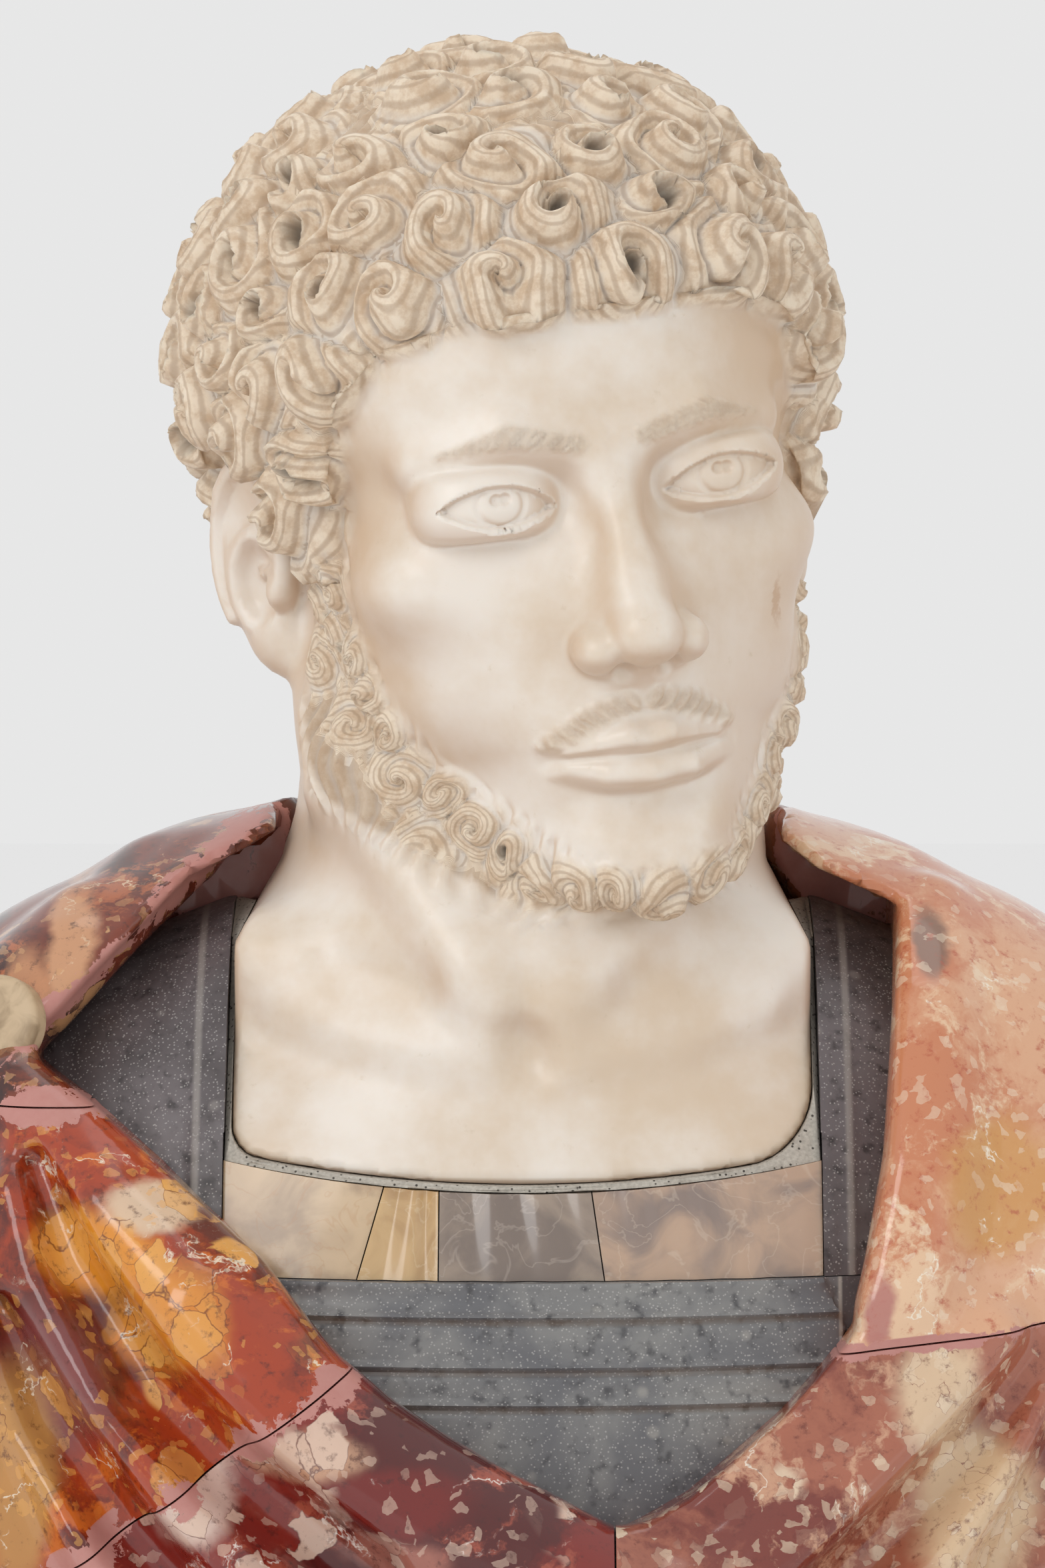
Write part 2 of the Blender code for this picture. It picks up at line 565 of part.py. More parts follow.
# Breastplate, straps and the sockets in them
core_levels = [PLATE_TOP + (CORE_TOP - PLATE_TOP) * k / 6 for k in range(7)]
low_levels = [0.0, 0.06, 0.12, 0.17]
moulded = [PLATE_TOP - k for k in (0.0390, 0.0362, 0.0335, 0.0275, 0.0250, 0.0225)]
moulded += [PLATE_TOP - k for k in (0.0120, 0.0098, 0.0082, 0.0043, 0.0)]
plate = ring_solid("cuirass_breastplate",
                   [(z, PLATE_EDGE, 0.0) for z in low_levels] + [(z, PLATE_EDGE, moulding(z)) for z in moulded])
core = ring_solid("core", [(z, 0.0, 0.0) for z in core_levels])
socket = prism("socket", bib_shape(SOCKET_WALL, 0.0, 0.42), -0.4, BIB_BACK + JOINT)
combine(core, socket, "DIFFERENCE")
drop(socket)
seat_side = BIB_HALF_WIDTH + SOCKET_WALL + JOINT
seat_top = BIB_CORNER + 0.0065
band_seat = prism("band_seat", [(-seat_side, 0.20), (-seat_side, seat_top), (seat_side, seat_top),
                                (seat_side, 0.20)], -0.4, BAND_BACK + JOINT)
combine(core, band_seat, "DIFFERENCE")
drop(band_seat)
joint_level = (0, 0, PLATE_TOP + JOINT / 2)
right_strap = share(core, "cuirass_strap_right", [((0.001, 0, 0), (1, 0, 0)), (joint_level, (0, 0, -1))])
left_strap = share(core, "cuirass_strap_left", [((0.001, 0, 0), (-1, 0, 0)), (joint_level, (0, 0, -1))])
drop(core)
tidy_mesh(plate)


# Head, neck and bib in one stone
points, faces = closed_skin(head_stone, (-0.16, -0.16, 0.235), (0.16, 0.155, 0.635), 0.0042)
local = to_head(points)
rise = curl_relief(local)
points = points + slope_of(head_stone, points, 0.002) * (rise * UNIT)[:, None]
head = add_piece("head", points, faces)
thin_out(head, HEAD_FACES)
tidy_mesh(head)
shape = bib_shape(0.0, BIB_ROUND, BIB_SIDE) + neck_sides(0.0)
keep = prism("keep", shape, -0.4, 0.4)
combine(head, keep, "INTERSECT")
drop(keep)
slab_top = CORE_TOP + 2 * JOINT
slab = prism("slab", [(-0.3, 0.1), (0.3, 0.1), (0.3, slab_top), (-0.3, slab_top)], BIB_BACK, 0.5)
combine(head, slab, "DIFFERENCE")
drop(slab)
tidy_mesh(head)


# Mortar bed between the bib and its socket
def front_of(x, z, out):
    origin = np.array([(x, 0.02, z)])
    return strike(lambda q: torso(q) - out, origin, np.array([(0.0, -1.0, 0.0)]), 0.3)[0][1]


mortar_top = CORE_TOP - 0.0060
lean = (mortar_top - BIB_SIDE) / (NECK_FOOT - BIB_SIDE)
leaning = BIB_HALF_WIDTH + (NECK_RADIUS + NECK_ROOM - BIB_HALF_WIDTH) * lean + 1.5 * JOINT
upright = BIB_HALF_WIDTH + SOCKET_WALL - JOINT
inner = [(-leaning, mortar_top)] + bib_shape(JOINT, BIB_ROUND, BIB_SIDE) + [(leaning, mortar_top)]
outer = [(-upright, mortar_top)] + bib_shape(SOCKET_WALL - JOINT, 0.0, BIB_SIDE) + [(upright, mortar_top)]
points = []
for (xa, za), (xb, zb) in zip(inner, outer):
    y = front_of(xb, zb, -0.0018)
    points += [(xa, y, za), (xb, y, zb), (xb, y + 0.018, zb), (xa, y + 0.018, za)]
faces = [(0, 1, 2, 3)]
for row in range(len(inner) - 1):
    for k in range(4):
        a, b = row * 4 + k, row * 4 + (k + 1) % 4
        faces.append((a, a + 4, b + 4, b))
end = (len(inner) - 1) * 4
faces.append((end + 3, end + 2, end + 1, end))
mortar = add_piece("mortar", points, faces)
tidy_mesh(mortar)


# Tunic band in four stones, with shallow pleats
def band_stone(name, left, right, pleats):
    columns = 9
    rows = 3
    points = []
    for row in range(rows):
        for col in range(columns):
            t = col / (columns - 1)
            low = left[0] + (right[0] - left[0]) * t
            high = left[1] + (right[1] - left[1]) * t
            top = BIB_LOW - SOCKET_WALL - JOINT + (BIB_CORNER - BIB_LOW) * (high / BIB_HALF_WIDTH) ** 2
            up = row / (rows - 1)
            x = low + (high - low) * up
            z = PLATE_TOP + JOINT + (top - PLATE_TOP - JOINT) * up
            out = -0.0012 - 0.0012 * math.cos(2 * math.pi * pleats * t) * (1 if pleats else 0)
            points.append((x, front_of(x, z, out), z))
    count = len(points)
    points += [(x, BAND_BACK, z) for x, y, z in points]
    faces = []
    for row in range(rows - 1):
        for col in range(columns - 1):
            a = row * columns + col
            faces.append((a, a + 1, a + 1 + columns, a + columns))
            faces.append((a + count, a + columns + count, a + 1 + columns + count, a + 1 + count))
    rim = list(range(columns)) + [columns * 2 - 1] + list(range(count - 1, count - columns - 1, -1)) + [columns]
    for a, b in zip(rim, rim[1:] + rim[:1]):
        faces.append((a, a + count, b + count, b))
    piece = add_piece(name, points, faces)
    tidy_mesh(piece)
    return piece


gap = JOINT / 2
band_end = BIB_HALF_WIDTH + SOCKET_WALL + gap
edges = [(-band_end, -band_end), *BAND_JOINTS, (band_end, band_end)]
for row, pleats in enumerate((0, 2, 3, 5)):
    left = [x + gap for x in edges[row]]
    right = [x - gap for x in edges[row + 1]]
    band_stone(f"tunic_band_{row + 1}", left, right, pleats)


# Cloak in seven stones over the cuirass
points, faces = closed_skin(cloak, (-0.33, -0.20, -0.02), (0.33, 0.20, 0.42), 0.0062)
whole = add_piece("whole_cloak", points, faces)
thin_out(whole, CLOAK_FACES)
tidy_mesh(whole)
floor = prism("floor", [(-0.5, -0.5), (-0.5, 0.0), (0.5, 0.0), (0.5, -0.5)], -0.5, 0.5)
combine(whole, floor, "DIFFERENCE")
drop(floor)
loose = PLATE_EDGE + 1.5 * JOINT
room_rows = [(z, loose, 0.0) for z in [-0.05] + low_levels]
room_rows += [(PLATE_TOP - 0.0390, loose + 0.0006, 0.0), (PLATE_TOP - 0.0225, loose + 0.0016, 0.0)]
room_rows += [(z, loose + 0.0030, 0.0) for z in (PLATE_TOP - 0.0043, PLATE_TOP)]
room_rows += [(max(z, PLATE_TOP + JOINT), JOINT, 0.0) for z in core_levels[:-1]] + [(CORE_TOP + JOINT, JOINT, 0.0)]
room = ring_solid("room", room_rows)
combine(whole, room, "DIFFERENCE")
drop(room)
neck_side = NECK_RADIUS + NECK_ROOM + JOINT
shape = bib_shape(SOCKET_WALL, 0.0, BIB_SIDE + JOINT)
shape += [(neck_side, NECK_FOOT + 2 * JOINT), (neck_side, 0.5), (-neck_side, 0.5), (-neck_side, NECK_FOOT + 2 * JOINT)]
bib_room = prism("bib_room", shape, -0.4, BIB_BACK + JOINT)
combine(whole, bib_room, "DIFFERENCE")
drop(bib_room)
tidy_mesh(whole)
front = ((0, CUT_BACK, 0), (0, 1, 0))
back = ((0, CUT_BACK, 0), (0, -1, 0))
shoulder = (0, 0, CUT_SHOULDER)
middle = (CUT_FRONT, 0, 0)
slant = ((-0.0584, 0, 0.2105), (0.0435, 0, -0.0594))
against = ((-0.0584, 0, 0.2105), (-0.0435, 0, 0.0594))
chest = ((0.112, 0, 0.2192), (-0.104, 0, 1))
above = ((0.112, 0, 0.2192), (0.104, 0, -1))
stones = {
    "cloak_collar": [back, ((0, 0, CUT_COLLAR), (0, 0, -1))],
    "cloak_back": [back, ((0, 0, CUT_COLLAR), (0, 0, 1))],
    "cloak_right_shoulder": [front, (middle, (1, 0, 0)), (shoulder, (0, 0, -1))],
    "cloak_right_chest": [front, (middle, (1, 0, 0)), (shoulder, (0, 0, 1)), slant],
    "cloak_lower_front": [front, (middle, (1, 0, 0)), (shoulder, (0, 0, 1)), against],
    "cloak_left_shoulder": [front, (middle, (-1, 0, 0)), above],
    "cloak_left_chest": [front, (middle, (-1, 0, 0)), chest],
}
for name, cuts in stones.items():
    share(whole, name, cuts)
drop(whole)


# Round fibula in its seat on the right shoulder
spot = np.array([(FIBULA_PLACE[0], 0.02, FIBULA_PLACE[1])])
seat = Vector(strike(cloak, spot, np.array([(0.0, -1.0, 0.0)]), 0.3)[0])
facing = Vector((-0.42, -0.82, 0.30)).normalized()


def disc(name, radius, depth, sink):
    work = bmesh.new()
    bmesh.ops.create_cone(work, cap_ends=True, segments=24, radius1=radius, radius2=radius, depth=depth)
    if not sink:
        rim = [e for e in work.edges if all(v.co.z > 0 for v in e.verts)]
        bmesh.ops.bevel(work, geom=rim, offset=0.0014, segments=1, profile=0.6, affect="EDGES")
    mesh = bpy.data.meshes.new(name)
    work.to_mesh(mesh)
    work.free()
    piece = bpy.data.objects.new(name, mesh)
    bpy.context.collection.objects.link(piece)
    turned = facing.to_track_quat("Z", "Y").to_matrix().to_4x4()
    mesh.transform(Matrix.Translation(seat + facing * (depth / 2 - 0.0035 - sink)) @ turned)
    return piece


fibula = disc("fibula", FIBULA_RADIUS, FIBULA_DEPTH, 0.0)
recess = disc("recess", FIBULA_RADIUS + JOINT, 0.030, JOINT)
combine(bpy.data.objects["cloak_right_shoulder"], recess, "DIFFERENCE")
drop(recess)
tidy_mesh(bpy.data.objects["cloak_right_shoulder"])


# One material for every stone
COLOURS = {
    "head": (0.78, 0.70, 0.58), "mortar": (0.50, 0.47, 0.42), "fibula": (0.62, 0.52, 0.38),
    "tunic_band_1": (0.48, 0.36, 0.25), "tunic_band_2": (0.62, 0.46, 0.26),
    "tunic_band_3": (0.30, 0.24, 0.20), "tunic_band_4": (0.42, 0.32, 0.24),
    "cuirass_breastplate": (0.13, 0.13, 0.15), "cuirass_strap_right": (0.09, 0.08, 0.09),
    "cuirass_strap_left": (0.09, 0.08, 0.09), "cloak_collar": (0.28, 0.09, 0.05),
    "cloak_back": (0.30, 0.08, 0.05), "cloak_right_shoulder": (0.38, 0.15, 0.08),
    "cloak_right_chest": (0.50, 0.16, 0.05), "cloak_lower_front": (0.36, 0.08, 0.06),
    "cloak_left_shoulder": (0.62, 0.42, 0.28), "cloak_left_chest": (0.40, 0.16, 0.11),
}
for name, colour in COLOURS.items():
    stone = bpy.data.materials.new(name + "_stone")
    stone.use_nodes = True
    shader = stone.node_tree.nodes["Principled BSDF"]
    shader.inputs["Base Color"].default_value = (*colour, 1.0)
    shader.inputs["Roughness"].default_value = 0.35
    bpy.data.objects[name].data.materials.clear()
    bpy.data.objects[name].data.materials.append(stone)
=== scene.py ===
import math

import bmesh
import bpy
import numpy as np
from mathutils import Matrix, Vector


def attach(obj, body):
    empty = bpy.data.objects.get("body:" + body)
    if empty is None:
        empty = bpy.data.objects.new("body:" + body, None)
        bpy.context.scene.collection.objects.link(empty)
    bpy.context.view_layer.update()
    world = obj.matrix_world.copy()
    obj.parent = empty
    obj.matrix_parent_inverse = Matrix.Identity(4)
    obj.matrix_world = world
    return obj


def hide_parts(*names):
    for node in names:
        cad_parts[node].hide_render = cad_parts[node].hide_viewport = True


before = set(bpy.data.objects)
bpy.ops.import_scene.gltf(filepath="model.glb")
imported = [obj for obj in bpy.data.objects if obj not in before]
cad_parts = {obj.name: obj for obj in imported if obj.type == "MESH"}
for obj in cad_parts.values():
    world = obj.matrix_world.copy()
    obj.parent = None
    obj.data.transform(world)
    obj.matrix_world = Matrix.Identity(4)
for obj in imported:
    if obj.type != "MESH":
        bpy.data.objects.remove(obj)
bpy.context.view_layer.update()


# Head, neck and bib: one block of fine white marble, carved in the round and polished on the skin,
# with curls that are cut as snails, drilled, and left matt. The skin has the warm cream of old wax.
HEAD_HEIGHT = 0.264
HEAD_PLACE = (0.0005, 0.0, 0.488)
HEAD_WIDENING = 1.10
HEAD_TURN = 16.0
HEAD_ROLL = -8.0
HEAD_BOW = 4.0
NECK_RADIUS = 0.0745
BIB_HALF_WIDTH = 0.0910
BIB_LOW = 0.2665
BIB_CORNER = 0.2745
BIB_SIDE = 0.3380
NECK_FOOT = 0.3620
NECK_ROOM = 0.0040
CORE_TOP = 0.3480
BIB_BACK = 0.0750
BIB_ROUND = (0.008, 0.020)
SOCKET_WALL = 0.0022
CURL_RADIUS = 13.5
CURL_RISE = 10.5
CURL_SPACING = 20.5
BEARD_CURL_RADIUS = 7.5
BEARD_CURL_RISE = 4.2
BEARD_CURL_SPACING = 11.5
FAR = 1e3


def smooth_min(a, b, soft):
    blend = np.clip(soft - np.abs(a - b), 0, None) / soft
    return np.minimum(a, b) - blend * blend * soft / 4


def smooth_max(a, b, soft):
    return -smooth_min(-a, -b, soft)


def smooth_step(x):
    x = np.clip(x, 0, 1)
    return x * x * (3 - 2 * x)


def ellipsoid(points, centre, radii):
    radii = np.asarray(radii, float)
    scaled = (points - np.asarray(centre, float)) / radii
    out = np.sqrt((scaled**2).sum(-1))
    slope = np.sqrt(((scaled / radii) ** 2).sum(-1))
    return out * (out - 1) / np.maximum(slope, 1e-6)


def rod(points, path, radii):
    path = np.asarray(path, float)
    best = np.full(len(points), FAR)
    for a, b, ra, rb in zip(path, path[1:], radii, radii[1:]):
        along = b - a
        t = np.clip(((points - a) @ along) / (along @ along), 0, 1)
        gap = points - a - t[:, None] * along
        best = np.minimum(best, np.sqrt((gap**2).sum(-1)) - (ra + (rb - ra) * t))
    return best


def mirrored(points):
    both = points.copy()
    both[:, 0] = np.abs(both[:, 0])
    return both


def outline(flat, corners):
    corners = np.asarray(corners, float)
    best = np.full(len(flat), FAR)
    inside = np.zeros(len(flat), bool)
    for a, b in zip(corners, np.roll(corners, -1, axis=0)):
        along = b - a
        t = np.clip(((flat - a) @ along) / max(along @ along, 1e-12), 0, 1)
        best = np.minimum(best, np.hypot(*(flat - a - t[:, None] * along).T))
        crosses = (a[1] > flat[:, 1]) != (b[1] > flat[:, 1])
        level = b[1] - a[1] if abs(b[1] - a[1]) > 1e-12 else 1e-12
        inside ^= crosses & (flat[:, 0] < a[0] + along[0] * (flat[:, 1] - a[1]) / level)
    return np.where(inside, -best, best)


def bare_head(p):
    m = mirrored(p)
    d = ellipsoid(p, (0, 10, 34), (80, 97, 82))
    d = smooth_min(d, ellipsoid(p, (0, 6, -22), (64, 52, 52)), 22)
    d = smooth_min(d, ellipsoid(p, (0, -40, 34), (60, 50, 46)), 18)
    d = smooth_min(d, ellipsoid(p, (0, -36, -28), (57, 57, 58)), 20)
    d = smooth_min(d, ellipsoid(p, (0, -56, -40), (38, 38, 44)), 16)
    d = smooth_min(d, ellipsoid(m, (30, -34, -56), (28, 42, 38)), 18)
    d = smooth_min(d, rod(m, [(50, -4, -50), (46, -14, -78), (34, -46, -96), (14, -76, -107)],
                          [11, 12, 12, 12]), 18)
    d = smooth_min(d, ellipsoid(p, (0, -68, -72), (31, 29, 30)), 16)
    d = smooth_min(d, ellipsoid(p, (0, -84, -107), (19, 15, 15)), 10)
    d = smooth_min(d, ellipsoid(m, (43, -58, -22), (19, 18, 13)), 20)
    return smooth_min(d, ellipsoid(p, (0, -38, -92), (38, 46, 20)), 16)


def face(p, d):
    m = mirrored(p)
    d = smooth_min(d, rod(m, [(5, -86, 14), (26, -86.5, 18), (46, -71, 13)], [5.5, 5.5, 5]), 14)
    d = smooth_max(d, -ellipsoid(m, (31, -101, -1), (19, 17, 11.5)), 9)
    d = smooth_max(d, -ellipsoid(m, (16, -97, -2), (5, 11, 9)), 8)
    nose = rod(p, [(0, -88, 12), (0, -96, -6), (0, -109.5, -38)], [5, 5.2, 6.4])
    nose = smooth_min(nose, ellipsoid(p, (0, -95, -36), (12, 14, 20)), 8)
    nose = smooth_min(nose, ellipsoid(p, (0, -109.5, -41.5), (9.3, 9.5, 8.6)), 5)
    d = smooth_min(d, nose, 9)
    d = smooth_min(d, ellipsoid(m, (12, -101, -44.5), (6.8, 9.5, 7.2)), 4)
    d = smooth_max(d, -ellipsoid(m, (6.4, -105, -52), (3.2, 6, 4)), 2)
    d = smooth_min(d, eyes(m), 2.5)
    d = smooth_min(d, rod(m, [(24, -86, -75), (12, -95.5, -72.8), (5, -99, -71.4), (0, -98.6, -72.4)],
                          [1.8, 3.4, 4.2, 3.8]), 4)
    d = smooth_min(d, rod(m, [(22, -86.5, -79), (10, -95.5, -82), (0, -97.6, -83.2)], [2, 4.6, 5.2]), 4)
    line = rod(m, [(26, -88, -77), (13, -98, -76.4), (5, -103.4, -76.8), (0, -103.8, -77.6)],
               [0.9, 1.3, 1.5, 1.5])
    d = smooth_max(d, -line, 1.6)
    d = smooth_max(d, -ellipsoid(m, (27.5, -90, -77), (3.5, 4, 3.5)), 4)
    d = smooth_max(d, -rod(p, [(0, -105, -58), (0, -106, -68)], [1.8, 2.6]), 3.5)
    return smooth_max(d, -rod(p, [(-8, -101, -94), (8, -101, -94)], [3, 3]), 9)


def eyes(m):
    t = np.clip((m[:, 0] - 15.6) / 31.4, 0, 1)
    level = -2.4 + 2.8 * t
    arch = np.sin(np.pi * t)
    upper = level + 6.8 * arch**0.75 * (1.1 - 0.2 * t)
    lower = level - 5.2 * arch**0.9 * (0.88 + 0.24 * t)
    almond = np.maximum(np.maximum(m[:, 2] - upper, lower - m[:, 2]), np.abs(m[:, 0] - 31.3) - 15.7)
    lift = smooth_step((almond + 0.7) / 1.6)
    ball = ellipsoid(m, (31.0, -75.0, 0.0), (18.5, 16.5, 15.5))
    iris = np.hypot(m[:, 0] - 31.0, m[:, 2] - 0.6)
    ball = ball + 0.55 * np.exp(-(((iris - 6.4) / 0.8) ** 2)) * (1 - lift)
    pit = np.minimum(np.hypot(m[:, 0] - 32.2, m[:, 2] - 2.0), np.hypot(m[:, 0] - 29.8, m[:, 2] - 2.0))
    ball = ball + 1.5 * np.exp(-((pit / 1.7) ** 4)) * (1 - lift)
    return smooth_max(ball - 2.6 * lift, np.abs(m[:, 2] - 0.5) - 10.5, 3)


def ears(p):
    q = mirrored(p) - np.array((76.0, 6.0, -17.0))
    turn = Matrix.Rotation(math.radians(-22), 3, "Z") @ Matrix.Rotation(math.radians(10), 3, "X")
    q = q @ np.array(turn)
    d = smooth_min(ellipsoid(q, (0, 1, 3), (5.5, 17, 29)), ellipsoid(q, (-1, -6, -24), (5, 8.5, 10)), 6)
    d = smooth_max(d, -ellipsoid(q, (7.5, -3, -6), (9, 9.5, 12.5)), 3)
    d = smooth_max(d, -ellipsoid(q, (7, 3, 13), (5, 9.5, 13)), 3)
    turns = np.radians(np.linspace(-60, 205, 15))
    rim = [(2.8, 1 + 15.5 * math.cos(a), 4 + 26.5 * math.sin(a)) for a in turns]
    rim += [(2.0, -9.5, -1.0), (1.0, -3.0, -3.5)]
    d = smooth_min(d, rod(q, rim, [2.6] * 5 + [3.2] * 8 + [3.0, 3.0, 2.4, 1.6]), 2)
    turns = np.radians(np.linspace(-70, 75, 9))
    inner = [(3.2, -3.5 + 11 * math.cos(a), -5 + 14.5 * math.sin(a)) for a in turns]
    d = smooth_min(d, rod(q, inner, [2.4] * 9), 2.5)
    d = smooth_min(d, ellipsoid(q, (2.5, -12, -7), (3.6, 3.4, 5.5)), 2.5)
    return smooth_min(d, ellipsoid(q, (-7, 3, 1), (7, 12, 23)), 4)


HAIR_EDGE = [(-30, 54), (22, 53), (36, 48), (46, 36), (52, 20), (56, 0), (58, -28), (52, -56), (40, -78),
             (25, -95), (13, -110), (-30, -113), (-30, -128), (24, -124), (46, -104), (68, -86), (79, -62),
             (79, 8), (84, 22), (104, 22), (113, -5), (118, -40), (140, -62), (210, -66), (210, 200),
             (-30, 200)]


def inside_hair(p):
    bearing = np.degrees(np.arctan2(np.abs(p[:, 0]), -p[:, 1])) * 1.4
    return -outline(np.stack((bearing, p[:, 2]), -1), [(a * 1.4, z) for a, z in HAIR_EDGE])


def hair_cover(p, d):
    return d - (2.0 + 3.0 * (p[:, 2] > -20)) * smooth_step(inside_hair(p) / 8)


UNIT = HEAD_HEIGHT / 250
TURN = (Matrix.Rotation(math.radians(HEAD_TURN), 3, "Z") @ Matrix.Rotation(math.radians(HEAD_ROLL), 3, "Y")
        @ Matrix.Rotation(math.radians(HEAD_BOW), 3, "X"))


def to_head(p):
    return (p - np.array(HEAD_PLACE)) @ np.array(TURN) / (UNIT * np.array((HEAD_WIDENING, 1, 1)))


def torso(p):
    m = mirrored(p)
    d = ellipsoid(p, (0, 0, 0.15), (0.205, 0.118, 0.20))
    d = smooth_min(d, ellipsoid(p, (0, 0.005, 0.03), (0.185, 0.11, 0.16)), 0.05)
    d = smooth_min(d, rod(m, [(0.02, 0.02, 0.246), (0.165, 0.02, 0.225)], [0.07, 0.0665]), 0.05)
    return smooth_min(d, rod(m, [(0, 0.035, 0.325), (0.12, 0.02, 0.278)], [0.049, 0.049]), 0.05)


def neck(p):
    d = rod(p, [(0.002, 0.014, 0.30), (0.003, 0.012, 0.40), (0.000, 0.008, 0.46)],
            [NECK_RADIUS + 0.003, NECK_RADIUS, NECK_RADIUS - 0.006])
    left = [(-0.060, 0.005, 0.455), (-0.052, -0.032, 0.39), (-0.010, -0.064, 0.338)]
    right = [(0.062, 0.022, 0.44), (0.045, -0.034, 0.39), (0.006, -0.062, 0.338)]
    d = smooth_min(d, rod(p, left, [0.016, 0.018, 0.008]), 0.014)
    d = smooth_min(d, rod(p, right, [0.014, 0.016, 0.008]), 0.018)
    return smooth_max(d, -ellipsoid(p, (-0.004, -0.066, 0.333), (0.009, 0.008, 0.010)), 0.012)


def bib_shape(grow, corners, top):
    wide = BIB_HALF_WIDTH + grow
    shape = []
    for k in range(41):
        x = -wide * math.cos(math.pi * k / 40)
        z = BIB_LOW - grow + (BIB_CORNER - BIB_LOW) * (x / wide) ** 2
        size = corners[0] if x < 0 else corners[1]
        edge = max(0.0, abs(x) - (wide - size))
        if size:
            z += size - math.sqrt(max(size**2 - edge**2, 0.0))
        shape.append((x, z))
    return [(-wide, top)] + shape + [(wide, top)]


NECK_SIDE = NECK_RADIUS + NECK_ROOM
HEAD_BLOCK = bib_shape(0.0, BIB_ROUND, BIB_SIDE)
HEAD_BLOCK += [(NECK_SIDE, NECK_FOOT), (NECK_SIDE, 0.400), (0.25, 0.44), (0.25, 0.75)]
HEAD_BLOCK += [(-0.25, 0.75), (-0.25, 0.44), (-NECK_SIDE, 0.400), (-NECK_SIDE, NECK_FOOT)]


def head_stone(p):
    chest = torso(p) + 0.005
    bones = rod(mirrored(p), [(0.012, -0.058, 0.322), (0.09, -0.035, 0.335)], [0.010, 0.010])
    skin = smooth_min(smooth_min(chest, bones, 0.03), neck(p), 0.036)
    d = np.full(len(p), FAR)
    local = to_head(p)
    near = np.flatnonzero(p[:, 2] > 0.325)
    q = local[near]
    d[near] = hair_cover(q, smooth_min(face(q, bare_head(q)), ears(q), 4)) * UNIT
    d = smooth_min(skin, d, 0.008)
    low_part = np.flatnonzero(p[:, 2] < 0.45)
    q = p[low_part]
    block = np.maximum(outline(q[:, [0, 2]], HEAD_BLOCK), np.minimum(q[:, 1] - BIB_BACK, CORE_TOP - q[:, 2]))
    d[low_part] = smooth_max(d[low_part], block, 0.003)
    return d


def slope_of(field, p, reach):
    parts = [field(p + s) - field(p - s) for s in np.eye(3) * reach]
    normal = np.stack(parts, -1)
    return normal / np.maximum(np.linalg.norm(normal, axis=1, keepdims=True), 1e-9)


def strike(field, origin, rays, reach):
    near = np.zeros(len(rays))
    far = np.full(len(rays), reach)
    for _ in range(26):
        middle = (near + far) / 2
        inner = field(origin + rays * middle[:, None]) < 0
        near = np.where(inner, middle, near)
        far = np.where(inner, far, middle)
    return origin + rays * near[:, None]


def sampled(field, low, high, step):
    low = np.asarray(low, float)
    blocks = np.ceil((np.asarray(high, float) - low) / (3 * step)).astype(int) + 1
    counts = 3 * (blocks - 1) + 1
    coarse = np.stack(np.meshgrid(*[low[k] + 3 * step * np.arange(blocks[k]) for k in range(3)],
                                  indexing="ij"), -1).reshape(-1, 3)
    rough = field(coarse).reshape(blocks)
    nearest = [np.round(np.arange(n) / 3).astype(int) for n in counts]
    values = rough[np.ix_(*nearest)]
    at = np.argwhere(np.abs(values) < 5.0 * step)
    found = [field(low + step * part) for part in np.array_split(at, 1 + len(at) // 200000)]
    values[tuple(at.T)] = np.concatenate(found)
    return values


def surface_net(values, low, step):
    cells = np.array(values.shape) - 1
    sums = np.zeros((cells.prod(), 3))
    counts = np.zeros(cells.prod())
    quads = []
    inside = values < 0
    for axis in range(3):
        lower = tuple(slice(0, -1) if k == axis else slice(None) for k in range(3))
        upper = tuple(slice(1, None) if k == axis else slice(None) for k in range(3))
        at = np.argwhere(inside[lower] != inside[upper])
        va, vb = values[lower][tuple(at.T)], values[upper][tuple(at.T)]
        point = at.astype(float)
        point[:, axis] += va / (va - vb)
        one, two = [k for k in range(3) if k != axis]
        corners = []
        for down_one, down_two in ((1, 1), (0, 1), (0, 0), (1, 0)):
            cell = at.copy()
            cell[:, one] -= down_one
            cell[:, two] -= down_two
            flat = np.ravel_multi_index(cell.T, cells)
            corners.append(flat)
            for k in range(3):
                sums[:, k] += np.bincount(flat, point[:, k], len(counts))
            counts += np.bincount(flat, minlength=len(counts))
        quad = np.stack(corners, 1)
        turned = ~((va < 0) ^ (axis == 1))
        quad[turned] = quad[turned][:, ::-1]
        quads.append(quad)
    used = counts > 0
    index = np.cumsum(used) - 1
    return np.asarray(low) + step * sums[used] / counts[used][:, None], index[np.concatenate(quads)]


def on_surface(field, points, rounds, reach):
    for _ in range(rounds):
        value = field(points)
        parts = np.stack([field(points + s) - value for s in np.eye(3) * reach], -1) / reach
        points = points - parts * (value / np.maximum((parts**2).sum(-1), 0.2))[:, None]
    return points


def piece_from(name, points, faces):
    mesh = bpy.data.meshes.new(name)
    mesh.from_pydata([tuple(p) for p in points], [], [tuple(f) for f in faces])
    mesh.polygons.foreach_set("use_smooth", [True] * len(mesh.polygons))
    piece = bpy.data.objects.new(name, mesh)
    bpy.context.collection.objects.link(piece)
    return piece


def corners_of(piece):
    points = np.empty(len(piece.data.vertices) * 3)
    piece.data.vertices.foreach_get("co", points)
    return points.reshape(-1, 3)


def refine(piece, wanted):
    work = bmesh.new()
    work.from_mesh(piece.data)
    work.verts.ensure_lookup_table()
    points = np.array([v.co for v in work.verts])
    keep = wanted(points)
    edges = [e for e in work.edges if keep[e.verts[0].index] and keep[e.verts[1].index]]
    bmesh.ops.subdivide_edges(work, edges=edges, cuts=1, use_grid_fill=True)
    work.to_mesh(piece.data)
    work.free()


